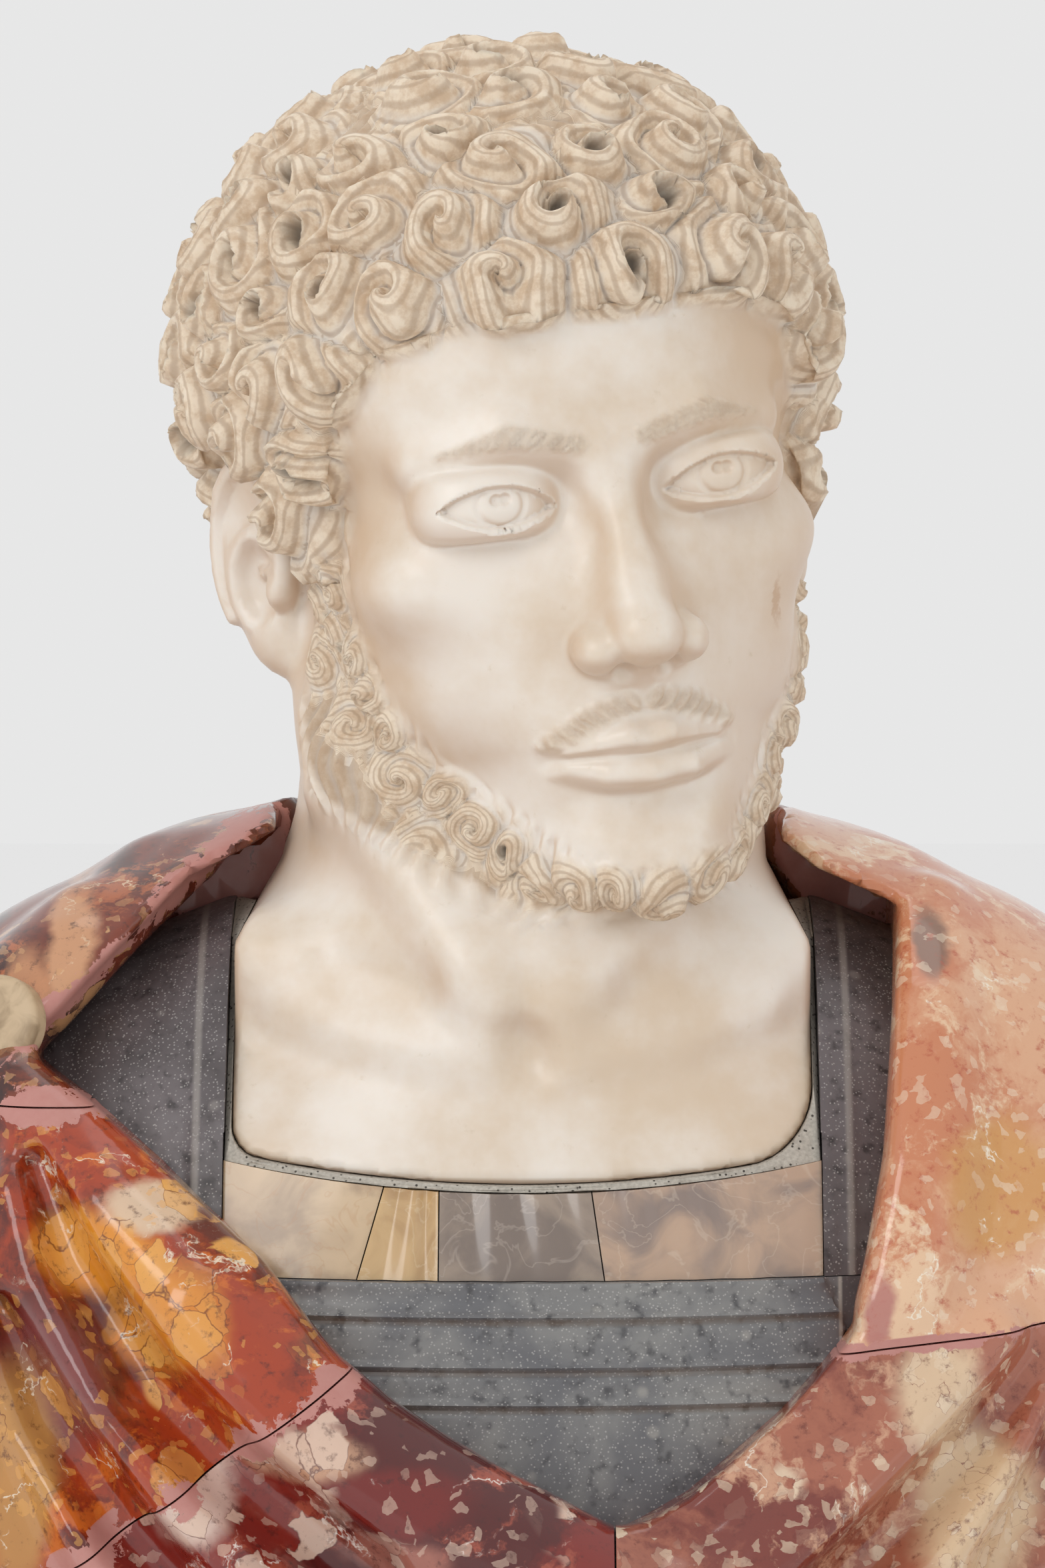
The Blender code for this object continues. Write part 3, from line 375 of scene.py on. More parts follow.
def settle(piece):
    bpy.context.view_layer.update()
    mesh = bpy.data.meshes.new_from_object(piece.evaluated_get(bpy.context.evaluated_depsgraph_get()))
    piece.modifiers.clear()
    piece.data = mesh


def all_round(count):
    k = np.arange(count) + 0.5
    height = 1 - 2 * k / count
    turn = k * math.pi * (3 - math.sqrt(5))
    wide = np.sqrt(1 - height**2)
    return np.stack((wide * np.cos(turn), wide * np.sin(turn), height), -1)


def curl_places():
    rays = all_round(5000)
    upper = strike(bare_head, np.array((0.0, 5.0, 25.0)), rays, 200)
    lower = strike(bare_head, np.array((0.0, -25.0, -58.0)), rays, 200)
    lower = lower[(lower[:, 2] < -22) & (lower[:, 1] < 0)]
    places = []
    for cloud, radius, spacing, rise in ((lower, BEARD_CURL_RADIUS, BEARD_CURL_SPACING, BEARD_CURL_RISE),
                                         (upper, CURL_RADIUS, CURL_SPACING, CURL_RISE)):
        depth = inside_hair(cloud)
        beard = (cloud[:, 2] < -22) & (cloud[:, 1] < 0)
        keep = depth > radius * 0.62
        keep &= beard if radius == BEARD_CURL_RADIUS else ~beard
        keep &= ears(cloud) > 0.55 * radius
        cloud = cloud[keep]
        for spot in cloud[np.argsort(depth[keep])]:
            clear = [np.linalg.norm(spot - q[0]) >= (spacing if q[1] == radius else 16.0) for q in places]
            if all(clear):
                places.append((spot, radius, rise))
    spots = np.array([q[0] for q in places])
    apart = np.sort(np.linalg.norm(upper[:, None] - spots[None], axis=2), axis=1)
    free = (inside_hair(upper) > 9) & (apart[:, 0] > 11.2) & (apart[:, 2] < 17) & (ears(upper) > 6)
    pits = []
    for spot in upper[free]:
        if all(np.linalg.norm(spot - q) > 22 for q in pits):
            pits.append(spot)
    return places, pits


def curl_relief(p):
    chance = np.random.default_rng(12)
    places, pits = curl_places()
    spots = np.array([q[0] for q in places])
    normals = slope_of(bare_head, spots, 2.0)
    first = np.full(len(p), 9.0)
    second = np.full(len(p), 9.0)
    owner = np.full(len(p), -1)
    rises = np.zeros(len(p))
    wobble = np.stack((np.sin(p[:, 1] / 5 + p[:, 2] / 7), np.sin(p[:, 2] / 4.4 - p[:, 0] / 6),
                       np.sin(p[:, 0] / 5.3 + p[:, 1] / 6.1)), -1) * 1.3
    for index, (spot, radius, rise) in enumerate(places):
        apart = np.linalg.norm(p + wobble - spot, axis=1) / (radius * chance.uniform(0.74, 1.22))
        nearer = apart < first
        second = np.where(nearer, first, np.minimum(second, apart))
        first = np.where(nearer, apart, first)
        rises[nearer] = rise
        owner[nearer] = index
    crest = np.clip(4.2 * (second - first) / (second + first), 0, 1) ** 0.55
    edge = np.clip(1.5 - first, 0, 1) ** 0.5
    dome = np.minimum(crest, edge)
    swirl = np.zeros((len(p), 3))
    depth = np.zeros(len(p))
    strand = np.full(len(p), 0.5)
    for index, ((spot, radius, rise), normal) in enumerate(zip(places, normals)):
        turns = chance.uniform(1.0, 1.5)
        hand = 1.0 if chance.random() < 0.5 else -1.0
        start = chance.uniform(0, 2 * math.pi)
        stretch = chance.uniform(0.78, 1.28)
        drilled = chance.random() < (0.42 if radius > 10 else 0.12)
        side = np.cross(normal, (math.cos(start), math.sin(start), 0.3))
        side /= np.linalg.norm(side)
        other = np.cross(normal, side)
        mine = np.flatnonzero((owner == index) & (first < 1.5))
        apart = p[mine] + wobble[mine] - spot
        u = apart @ side / radius * hand * stretch
        v = apart @ other / radius / stretch
        r = np.hypot(u, v)
        lane = (np.arctan2(v, u) / (2 * math.pi) - turns * r**0.75) % 1.0
        comb = 0.05 * np.cos(2 * math.pi * 3 * lane) * (r > 0.2)
        strand[mine] = np.sin(math.pi * lane) ** 0.8 * (1.12 - 0.3 * r**2) + comb
        if drilled:
            bore = smooth_step((0.30 - np.hypot(u - 0.06, v)) / 0.16)
            depth[mine] = bore
        swirl[mine] = np.stack((u, v, np.full(len(mine), turns)), -1)
    high = rises * (0.16 + 0.84 * strand) * dome
    waves = np.sin((p[:, 0] * np.sign(p[:, 0]) * 0.35 + p[:, 1] * 0.9 + 2.4 * np.sin(p[:, 2] / 5.2)) * 1.25)
    locks = 1.1 * waves * np.clip(first - 1.1, 0, 0.4) / 0.4
    crests = np.clip(strand * dome + 0.5 * np.clip(first - 1.1, 0, 0.4) * (1.6 + waves), 0, 1)
    relief = high + locks - depth * (high * 0.8 + 1.0)
    for spot in pits:
        r = np.linalg.norm(p - spot, axis=1)
        bore = smooth_step((3.0 - r) / 1.0)
        relief -= bore * 5.0
        depth = np.maximum(depth, bore)
    edge = np.clip(ears(p) / 3, 0, 1) * smooth_step((inside_hair(p) + 6) / 6)
    return relief * edge, swirl, depth * edge, crests


def short_hair(p):
    m = mirrored(p)
    ahead = p[:, 1] < -60
    flat = m * np.array((1, 0, 1))
    brow = -rod(flat, [(9, 0, 15.5), (27, 0, 20), (45, 0, 16)], [3.6, 4.4, 1.6])
    brow_lift = smooth_step(brow / 2.2) * (0.8 + 0.5 * np.cos(2 * math.pi * (m[:, 0] + 1.3 * m[:, 2]) / 3.4))
    lip = -rod(flat, [(3.5, 0, -61.5), (14, 0, -65), (25, 0, -71.5)], [4.6, 5.2, 3.6])
    comb = np.cos(2 * math.pi * (0.9 * m[:, 0] - 0.55 * m[:, 2] + 1.2 * np.sin(m[:, 2] / 3.0)) / 4.4)
    lip_lift = smooth_step(lip / 3.0) * (1.5 + 0.8 * comb)
    return (brow_lift + lip_lift) * ahead, smooth_step(np.maximum(brow / 2.2, lip / 3.0)) * ahead


def throat(p):
    flat = p * np.array((1, 0, 1))
    ridges = (([(-0.062, 0, 0.415), (-0.038, 0, 0.362), (-0.008, 0, 0.318)], 0.0040, 0.017),
              ([(0.068, 0, 0.402), (0.046, 0, 0.355), (0.012, 0, 0.318)], 0.0028, 0.015),
              ([(-0.014, 0, 0.304), (-0.050, 0, 0.309), (-0.086, 0, 0.322)], 0.0026, 0.013),
              ([(0.014, 0, 0.304), (0.050, 0, 0.309), (0.086, 0, 0.322)], 0.0026, 0.013),
              ([(-0.001, 0, 0.312), (0.004, 0, 0.305)], -0.0036, 0.013),
              ([(-0.034, 0, 0.327), (-0.060, 0, 0.334)], -0.0024, 0.014),
              ([(0.036, 0, 0.327), (0.060, 0, 0.334)], -0.0024, 0.014))
    lift = sum(height * smooth_step(1 - rod(flat, line, [0.0] * len(line)) / wide)
               for line, height, wide in ridges)
    inner = smooth_step((0.0905 - np.abs(p[:, 0])) / 0.014)
    return lift * inner * (p[:, 1] < 0) * smooth_step((0.420 - p[:, 2]) / 0.03)


HEAD_STEP = 0.0026
HEAD_TRIANGLES = 190000
low, high = (-0.150, -0.150, 0.252), (0.150, 0.150, 0.630)
points, faces = surface_net(sampled(head_stone, low, high, HEAD_STEP), low, HEAD_STEP)
head = piece_from("head_stone", points, faces)


def carved(points):
    q = to_head(points)
    front = (q[:, 1] < -48) & (q[:, 2] > -118) & (q[:, 2] < 40) & (np.abs(q[:, 0]) < 56)
    return (inside_hair(q) > -3) & (q[:, 2] > -128) | front | (ears(q) < 4)


refine(head, carved)


def eye_and_lip(points):
    q = mirrored(to_head(points))
    eye = (np.abs(q[:, 0] - 31) < 20) & (np.abs(q[:, 2]) < 12) & (q[:, 1] < -50)
    return eye | ((q[:, 0] < 28) & (np.abs(q[:, 2] + 77) < 6) & (q[:, 1] < -60))


refine(head, eye_and_lip)
points = on_surface(head_stone, corners_of(head), 3, 0.0003)
local = to_head(points)
rise, swirl, holes, crests = curl_relief(local)
lift, cover = short_hair(local)
normal = slope_of(head_stone, points, 0.0012)
points = points + normal * ((rise + lift) * UNIT + throat(points))[:, None]
head.data.vertices.foreach_set("co", points.ravel())
locked = smooth_step(np.maximum(inside_hair(local) / 3, rise / 1.5 - 0.4))
hairy = np.maximum(locked, cover * 0.6) * np.clip(ears(local) / 2, 0, 1)
raised = np.clip(np.where(cover > 0.2, 0.15 + lift * 0.42, crests), 0, 1)
for name, values in (("rise", raised), ("hair", hairy), ("hole", holes)):
    head.data.attributes.new(name, "FLOAT", "POINT").data.foreach_set("value", values)
head.data.attributes.new("swirl", "FLOAT_VECTOR", "POINT").data.foreach_set("vector", swirl.ravel())
# The locks and the back are thinned, which keeps the stone under 200,000 triangles. The face is left out.
away = head.vertex_groups.new(name="away_from_face")
away.add(np.flatnonzero((local[:, 1] > -45) | (local[:, 2] > 42) | (rise > 0.3)).tolist(), 1.0, "REPLACE")
thin = head.modifiers.new("thin", "DECIMATE")
thin.vertex_group = away.name
thin.ratio = HEAD_TRIANGLES / (2 * len(head.data.polygons))
settle(head)
head.vertex_groups.clear()


# Colours are written as sRGB hex values, and the shader works in linear light.
def linear(code):
    parts = [int(code[k:k + 2], 16) / 255 for k in (1, 3, 5)]
    return tuple(c / 12.92 if c < 0.04045 else ((c + 0.055) / 1.055) ** 2.4 for c in parts) + (1.0,)


def stone_material(name, roughness, coat=0.0, subsurface=0.0):
    material = bpy.data.materials.new(name)
    material.use_nodes = True
    shader = material.node_tree.nodes["Principled BSDF"]
    shader.inputs["IOR"].default_value = 1.5
    shader.inputs["Roughness"].default_value = roughness
    shader.inputs["Coat Weight"].default_value = coat
    shader.inputs["Coat Roughness"].default_value = 0.08
    shader.inputs["Subsurface Weight"].default_value = subsurface
    shader.inputs["Subsurface Radius"].default_value = (1.0, 0.7, 0.45)
    shader.inputs["Subsurface Scale"].default_value = 0.004
    return material, shader


def add(material, kind, inputs, output=0, **settings):
    tree = material.node_tree
    node = tree.nodes.new("ShaderNode" + kind)
    for key, value in settings.items():
        setattr(node, key, value)
    for slot, value in inputs.items():
        if isinstance(value, bpy.types.NodeSocket):
            tree.links.new(value, node.inputs[slot])
        else:
            node.inputs[slot].default_value = linear(value) if isinstance(value, str) else value
    return node.outputs[output]


RGB = {"data_type": "RGBA"}
SOFT = {"interpolation_type": "SMOOTHSTEP"}

# Wax-warm polished skin at 0.34 roughness, matt locks at 0.62 with tan crests and pale dust in the cuts.
# The curl striations are 2 mm apart, coarser than a real rasp mark, so that they show.
marble, shader = stone_material("white_marble", 0.36, 0.0, 0.12)
wire = marble.node_tree.links.new
place = add(marble, "TexCoord", {}, 3)
cloud = add(marble, "TexNoise", {0: place, 2: 11.0, 3: 6.0, 4: 0.6})
fine = add(marble, "TexNoise", {0: place, 2: 160.0, 3: 7.0, 4: 0.65})
hair = add(marble, "Attribute", {}, 2, attribute_name="hair")
high_part = add(marble, "Attribute", {}, 2, attribute_name="rise")
hole = add(marble, "Attribute", {}, 2, attribute_name="hole")
swirls = add(marble, "Attribute", {}, 1, attribute_name="swirl")
stain = add(marble, "MapRange", {0: cloud, 1: 0.40, 2: 0.66}, **SOFT)
skin = add(marble, "Mix", {0: stain, 6: "#ECE3D8", 7: "#DAC6AE"}, 2, **RGB)
# Painted shade: skin that faces sideways or downward, at the neck's sides and under the jaw, is painted tan by
# its direction.
facing = add(marble, "SeparateXYZ", {0: add(marble, "TexCoord", {}, 1)})
painted_side_shade = add(marble, "Math", {0: facing}, operation="ABSOLUTE")
painted_side_shade = add(marble, "MapRange", {0: painted_side_shade, 1: 0.45, 2: 0.98, 4: 0.55}, **SOFT)
skin = add(marble, "Mix", {0: painted_side_shade, 6: skin, 7: "#CBA988"}, 2, **RGB)
painted_under_shade = add(marble, "MapRange", {0: facing.node.outputs[2], 1: -0.1, 2: -0.75, 3: 0.0, 4: 0.5}, **SOFT)
skin = add(marble, "Mix", {0: painted_under_shade, 6: skin, 7: "#BE9C7E"}, 2, **RGB)
speck = add(marble, "MapRange", {0: fine, 1: 0.62, 2: 0.82, 4: 0.7}, **SOFT)
skin = add(marble, "Mix", {0: speck, 6: skin, 7: "#CBB79B"}, 2, **RGB)
bend = add(marble, "VectorMath", {0: fine.node.outputs[1], 1: (0.008, 0.0, 0.008)}, operation="MULTIPLY")
bend = add(marble, "VectorMath", {0: place, 1: bend}, operation="ADD")
flaw = add(marble, "VectorMath", {0: bend, 1: (0.0835, 0.0, 0.451)}, operation="SUBTRACT")
flaw = add(marble, "VectorMath", {0: flaw, 1: (1 / 0.0011, 0.0, 1 / 0.0085)}, operation="MULTIPLY")
flaw = add(marble, "VectorMath", {0: flaw}, 1, operation="LENGTH")
flaw = add(marble, "MapRange", {0: flaw, 1: 0.4, 2: 1.3, 3: 0.42, 4: 0.0}, **SOFT)
skin = add(marble, "Mix", {0: flaw, 6: skin, 7: "#B07F4E"}, 2, **RGB)
worn = add(marble, "MapRange", {0: fine, 1: 0.38, 2: 0.66}, **SOFT)
crown = add(marble, "Mix", {0: worn, 6: "#E6D6C0", 7: "#CDB498"}, 2, **RGB)
lift = add(marble, "MapRange", {0: high_part, 1: 0.03, 2: 0.34}, **SOFT)
locks = add(marble, "Mix", {0: lift, 6: "#D8CFC4", 7: crown}, 2, **RGB)
across = add(marble, "SeparateXYZ", {0: swirls})
sheet = across.node.outputs
angle = add(marble, "Math", {0: sheet[1], 1: sheet[0]}, operation="ARCTAN2")
flat = add(marble, "CombineXYZ", {0: sheet[0], 1: sheet[1]})
reach = add(marble, "VectorMath", {0: flat}, 1, operation="LENGTH")
reach = add(marble, "Math", {0: reach, 1: 0.75}, operation="POWER")
reach = add(marble, "Math", {0: reach, 1: sheet[2]}, operation="MULTIPLY")
lane = add(marble, "Math", {0: angle, 1: 1 / (2 * math.pi)}, operation="MULTIPLY")
lane = add(marble, "Math", {0: lane, 1: reach}, operation="SUBTRACT")
lane = add(marble, "Math", {0: lane, 1: 2 * math.pi * 5}, operation="MULTIPLY")
lane = add(marble, "Math", {0: lane}, operation="COSINE")
lane = add(marble, "Math", {0: lane, 1: hair}, operation="MULTIPLY")
stroke = add(marble, "MapRange", {0: lane, 1: -0.2, 2: 1.0, 3: 0.0, 4: 0.50}, **SOFT)
locks = add(marble, "Mix", {0: stroke, 6: locks, 7: "#A58A70"}, 2, **RGB)
colour = add(marble, "Mix", {0: hair, 6: skin, 7: locks}, 2, **RGB)
# Painted shade: the drilled holes and pits in the locks are painted dark grey, on top of their carved depth.
colour = add(marble, "Mix", {0: hole, 6: colour, 7: "#857D73"}, 2, **RGB)
wire(colour, shader.inputs["Base Color"])
wire(add(marble, "MapRange", {0: hair, 3: 0.34, 4: 0.62}), shader.inputs["Roughness"])
grain = add(marble, "TexNoise", {0: place, 2: 420.0, 3: 3.0})
grain = add(marble, "Math", {0: lane, 1: grain}, operation="ADD")
wire(add(marble, "Bump", {0: 0.8, 1: 0.0008, 2: grain}), shader.inputs["Normal"])
head.data.materials.append(marble)
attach(head, "root")
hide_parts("head")


# Mortar: a bed of lime and marble grit between the bib and the cuirass, left rough, with open pores.
# It is thin at the sides and fills the rounded lower corners.
def cloth_front(path, out, way):
    flat = np.array(path)
    origin = np.stack((flat[:, 0], np.full(len(flat), 0.02), flat[:, 1]), -1)
    rays = np.tile((0.0, way, 0.0), (len(flat), 1))
    return strike(lambda q: torso(q) - out, origin, rays, 0.3)


def ribbon(inner, outer, count):
    rows = []
    for step in range(count):
        t = step / (count - 1)
        rows.append([((1 - t) * a[0] + t * b[0], (1 - t) * a[1] + t * b[1]) for a, b in zip(inner, outer)])
    return np.array(rows)


def walls(grid, back):
    rows, columns = grid.shape[:2]
    front = grid.reshape(-1, 3)
    rear = front.copy()
    rear[:, 1] = back if np.isscalar(back) else front[:, 1] + back[0]
    count = rows * columns
    faces = []
    for row in range(rows - 1):
        for col in range(columns - 1):
            a = row * columns + col
            faces.append((a, a + 1, a + 1 + columns, a + columns))
            faces.append((a + count, a + columns + count, a + 1 + columns + count, a + 1 + count))
    rim = list(range(columns)) + [columns * (k + 2) - 1 for k in range(rows - 2)]
    rim += list(range(count - 1, count - columns - 1, -1)) + [columns * (rows - 2 - k) for k in range(rows - 2)]
    for a, b in zip(rim, rim[1:] + rim[:1]):
        faces.append((a, a + count, b + count, b))
    return np.vstack((front, rear)), faces


def solid_piece(name, points, faces, crease):
    piece = piece_from(name, points, faces)
    work = bmesh.new()
    work.from_mesh(piece.data)
    bmesh.ops.recalc_face_normals(work, faces=work.faces)
    work.to_mesh(piece.data)
    work.free()
    piece.data.set_sharp_from_angle(angle=math.radians(crease))
    return piece


MORTAR_TOP = CORE_TOP - 0.0004
lean = (MORTAR_TOP - BIB_SIDE) / (NECK_FOOT - BIB_SIDE)
leaning = BIB_HALF_WIDTH + (NECK_SIDE - BIB_HALF_WIDTH) * lean + 0.0004
upright = BIB_HALF_WIDTH + SOCKET_WALL - 0.0002
inner = [(-leaning, MORTAR_TOP)] + bib_shape(0.0002, BIB_ROUND, BIB_SIDE) + [(leaning, MORTAR_TOP)]
outer = [(-upright, MORTAR_TOP)] + bib_shape(SOCKET_WALL - 0.0002, (0, 0), BIB_SIDE) + [(upright, MORTAR_TOP)]
edge_in = ribbon(inner, outer, 6)
chance = np.random.default_rng(5)
grid = cloth_front(edge_in.reshape(-1, 2), -0.0026, -1.0).reshape(edge_in.shape[0], -1, 3)
grid[:, :, 1] += chance.uniform(-0.0004, 0.0004, grid.shape[:2])
mortar = solid_piece("mortar_bed", *walls(grid, (0.012,)), 40)
# Dull lime with grit of 1 mm and open pores 2 mm apart, about twice their real size so that they show.
lime, shader = stone_material("lime_mortar", 0.9)
wire = lime.node_tree.links.new
place = add(lime, "TexCoord", {}, 3)
grit = add(lime, "TexNoise", {0: place, 2: 900.0, 3: 4.0})
pores = add(lime, "TexVoronoi", {0: place, 2: 520.0})
colour = add(lime, "Mix", {0: grit, 6: "#8B847A", 7: "#D8D2C6"}, 2, **RGB)
pit = add(lime, "MapRange", {0: pores, 1: 0.16, 2: 0.26}, **SOFT)
wire(add(lime, "Mix", {0: pit, 6: "#4A453F", 7: colour}, 2, **RGB), shader.inputs["Base Color"])
wire(add(lime, "Bump", {0: 0.8, 1: 0.0006, 2: pit}), shader.inputs["Normal"])
mortar.data.materials.append(lime)
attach(mortar, "root")
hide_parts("mortar")


# Tunic: a band of four alabaster slips let in under the bib, ground flat at the ends and fluted into
# pleats in the middle, then polished. Alabaster is soft and cloudy, and light goes some way into it.
PLATE_TOP = 0.2380
BAND_BACK = -0.0480
BAND_END = BIB_HALF_WIDTH + SOCKET_WALL
slips = (("tunic_band_1", (-BAND_END, -BAND_END), (-0.0514, -0.0432), 0, 0.0, "alabaster_cream",
          ("#CDB391", "#A98F73", "#B07A4A")),
         ("tunic_band_2", (-0.0510, -0.0428), (-0.0262, -0.0260), 2, 0.0026, "alabaster_honey",
          ("#CFAE80", "#B28E62", "#E6D6B8")),
         ("tunic_band_3", (-0.0258, -0.0256), (0.0251, 0.0212), 3, 0.0020, "alabaster_grey",
          ("#A08F80", "#7F7168", "#CBBEB2")),
         ("tunic_band_4", (0.0255, 0.0216), (BAND_END, BAND_END), 5, 0.0018, "alabaster_mixed",
          ("#BDA089", "#8E7D74", "#DCCBB8")))
for name, left, right, pleats, depth, slot_name, tones in slips:
    across, up = np.meshgrid(np.linspace(0, 1, 61), np.linspace(0, 1, 19))
    foot = left[0] + (right[0] - left[0]) * across
    head_x = left[1] + (right[1] - left[1]) * across
    top = BIB_LOW - 0.0024 + (BIB_CORNER - BIB_LOW) * (head_x / BIB_HALF_WIDTH) ** 2
    x = foot + (head_x - foot) * up
    z = PLATE_TOP + 0.0003 + (top - PLATE_TOP - 0.0003) * up
    grid = cloth_front(np.stack((x, z), -1).reshape(-1, 2), -0.0016, -1.0).reshape(19, 61, 3)
    if pleats:
        phase = 2 * math.pi * pleats * across * (0.92 + 0.08 * up) + 0.6 * np.sin(4.1 * across + 1.3 * pleats)
        crest = np.abs(np.cos(phase / 2)) ** 1.6
        fade = smooth_step((1.02 - across) / 0.35) if pleats == 5 else 1.0
        grid[:, :, 1] -= depth * (crest - 0.5) * fade * (0.6 + 0.4 * up)
    slip = solid_piece(name + "_slip", *walls(grid, BAND_BACK), 40)
    # Polished alabaster under a thin wax coat: clouds of 20 mm, hair veins, and light that sinks in.
    stone, shader = stone_material(slot_name, 0.22, 0.35, 0.15)
    wire = stone.node_tree.links.new
    place = add(stone, "TexCoord", {}, 3)
    blur = add(stone, "TexNoise", {0: place, 2: 45.0, 3: 5.0, 8: 0.8})
    vein = add(stone, "TexNoise", {0: place, 2: 55.0, 3: 4.0, 8: 0.8})
    vein = add(stone, "Math", {0: vein, 1: 0.5}, operation="SUBTRACT")
    vein = add(stone, "Math", {0: vein}, operation="ABSOLUTE")
    vein = add(stone, "MapRange", {0: vein, 1: 0.0, 2: 0.018, 3: 0.22, 4: 0.0}, **SOFT)
    tone = add(stone, "MapRange", {0: blur, 1: 0.36, 2: 0.64}, **SOFT)
    colour = add(stone, "Mix", {0: tone, 6: tones[0], 7: tones[1]}, 2, **RGB)
    colour = add(stone, "Mix", {0: vein, 6: colour, 7: tones[2]}, 2, **RGB)
    wire(colour, shader.inputs["Base Color"])
    slip.data.materials.append(stone)
    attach(slip, "root")
    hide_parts(name)


# Cuirass: a breastplate and two shoulder straps in dark grey marble. The plate has three beads under
# its top edge, and its corner is clipped; each strap has one upright fillet. Rubbed, not glassy.
PLATE_EDGE = 0.0030
BEADS = (0.0098, 0.0250, 0.0362)
CLIPPED_SIDE = 0.0990
STRAP_FILLET = 0.1022


def beading(z):
    depth = PLATE_TOP - z
    beads = sum(0.0011 * np.exp(-(((depth - at) / 0.0009) ** 2)) for at in BEADS)
    quirks = sum(0.0011 * np.exp(-(((depth - at - 0.0021) / 0.0010) ** 2)) for at in BEADS)
    hollow = 0.0014 * np.sin(np.pi * np.clip(depth / BEADS[0], 0, 1))
    lip = 0.0006 * np.exp(-((depth / 0.0008) ** 2))
    return beads - quirks - hollow - lip


def ring_solid(name, levels, grown, crease):
    turns = np.radians(np.concatenate((np.linspace(-80, 80, 241), np.linspace(85, 275, 38))))
    rays = np.stack((np.sin(turns), -np.cos(turns), np.zeros(len(turns))), -1)
    points = []
    for z in levels:
        here = strike(torso, np.array((0.0, 0.012, z)), rays, 0.45)
        here += rays * grown(here, z)[:, None]
        here[:, 2] = z
        points.append(here)
    count = len(rays)
    faces = []
    for row in range(len(levels) - 1):
        for k in range(count):
            a, b = row * count + k, row * count + (k + 1) % count
            faces.append((a, b, b + count, a + count))
    faces.append(tuple(range(count - 1, -1, -1)))
    faces.append(tuple(range(len(levels) * count - count, len(levels) * count)))
    return solid_piece(name, np.vstack(points), [list(f) for f in faces], crease)


def plate_skin(here, z):
    depth = PLATE_TOP - z
    side = CLIPPED_SIDE - 0.0055 * max(0.0, 1 - depth / 0.0150)
    on_plate = smooth_step((side - here[:, 0]) / 0.0012) * (here[:, 1] < 0)
    on_plate = np.where(here[:, 0] < 0, 1.0, on_plate)
    front = np.clip((0.16 - np.abs(here[:, 0])) / 0.02, 0, 1) * (here[:, 1] < 0)
    return PLATE_EDGE * on_plate + beading(z) * front * on_plate


def strap_skin(here, z):
    fillet = 0.0009 * np.exp(-(((np.abs(here[:, 0]) - STRAP_FILLET) / 0.0012) ** 2)) * (here[:, 1] < 0)
    return fillet - 0.0002


levels = np.concatenate((np.linspace(0.0, 0.19, 24), np.arange(0.192, PLATE_TOP - 0.0003, 0.0006), [PLATE_TOP]))
breastplate = ring_solid("breastplate", levels, plate_skin, 50)
yoke = ring_solid("shoulder_straps", np.linspace(PLATE_TOP + 0.0003, CORE_TOP, 50), strap_skin, 50)


def block(name, shape, front, back):
    count = len(shape)
    points = [(x, front, z) for x, z in shape] + [(x, back, z) for x, z in shape]
    faces = [list(range(count)), list(range(2 * count - 1, count - 1, -1))]
    faces += [[k, k + count, (k + 1) % count + count, (k + 1) % count] for k in range(count)]
    return solid_piece(name, points, faces, 30)


def cut_away(piece, cutter):
    change = piece.modifiers.new("seat", "BOOLEAN")
    change.operation = "DIFFERENCE"
    change.solver = "EXACT"
    change.object = cutter
    settle(piece)
    bpy.data.objects.remove(cutter, do_unlink=True)


seat = BIB_HALF_WIDTH + SOCKET_WALL + 0.0003
seat_top = BIB_CORNER + 0.0065
cut_away(yoke, block("socket", bib_shape(SOCKET_WALL, (0, 0), 0.42), -0.4, BIB_BACK + 0.0003))
band_room = [(-seat, 0.20), (-seat, seat_top), (seat, seat_top), (seat, 0.20)]
cut_away(yoke, block("band_seat", band_room, -0.4, BAND_BACK + 0.0003))


def divided(source, name, cuts, gap):
    piece = source.copy()
    piece.data = source.data.copy()
    piece.name = name
    bpy.context.collection.objects.link(piece)
    work = bmesh.new()
    work.from_mesh(piece.data)
    for spot, way in cuts:
        way = Vector(way).normalized()
        parts = list(work.verts) + list(work.edges) + list(work.faces)
        cut = bmesh.ops.bisect_plane(work, geom=parts, plane_co=Vector(spot) - way * gap, plane_no=way,
                                     clear_outer=True)
        rim = [g for g in cut["geom_cut"] if isinstance(g, bmesh.types.BMEdge)]
        if rim:
            bmesh.ops.triangle_fill(work, edges=rim, use_beauty=True)
    bmesh.ops.recalc_face_normals(work, faces=work.faces)
    work.to_mesh(piece.data)
    work.free()
    piece.data.polygons.foreach_set("use_smooth", [True] * len(piece.data.polygons))
    piece.data.set_sharp_from_angle(angle=math.radians(50))
    return piece


right_strap = divided(yoke, "strap_right", [((0.001, 0, 0), (1, 0, 0))], 0.00015)
left_strap = divided(yoke, "strap_left", [((0.001, 0, 0), (-1, 0, 0))], 0.00015)
bpy.data.objects.remove(yoke, do_unlink=True)
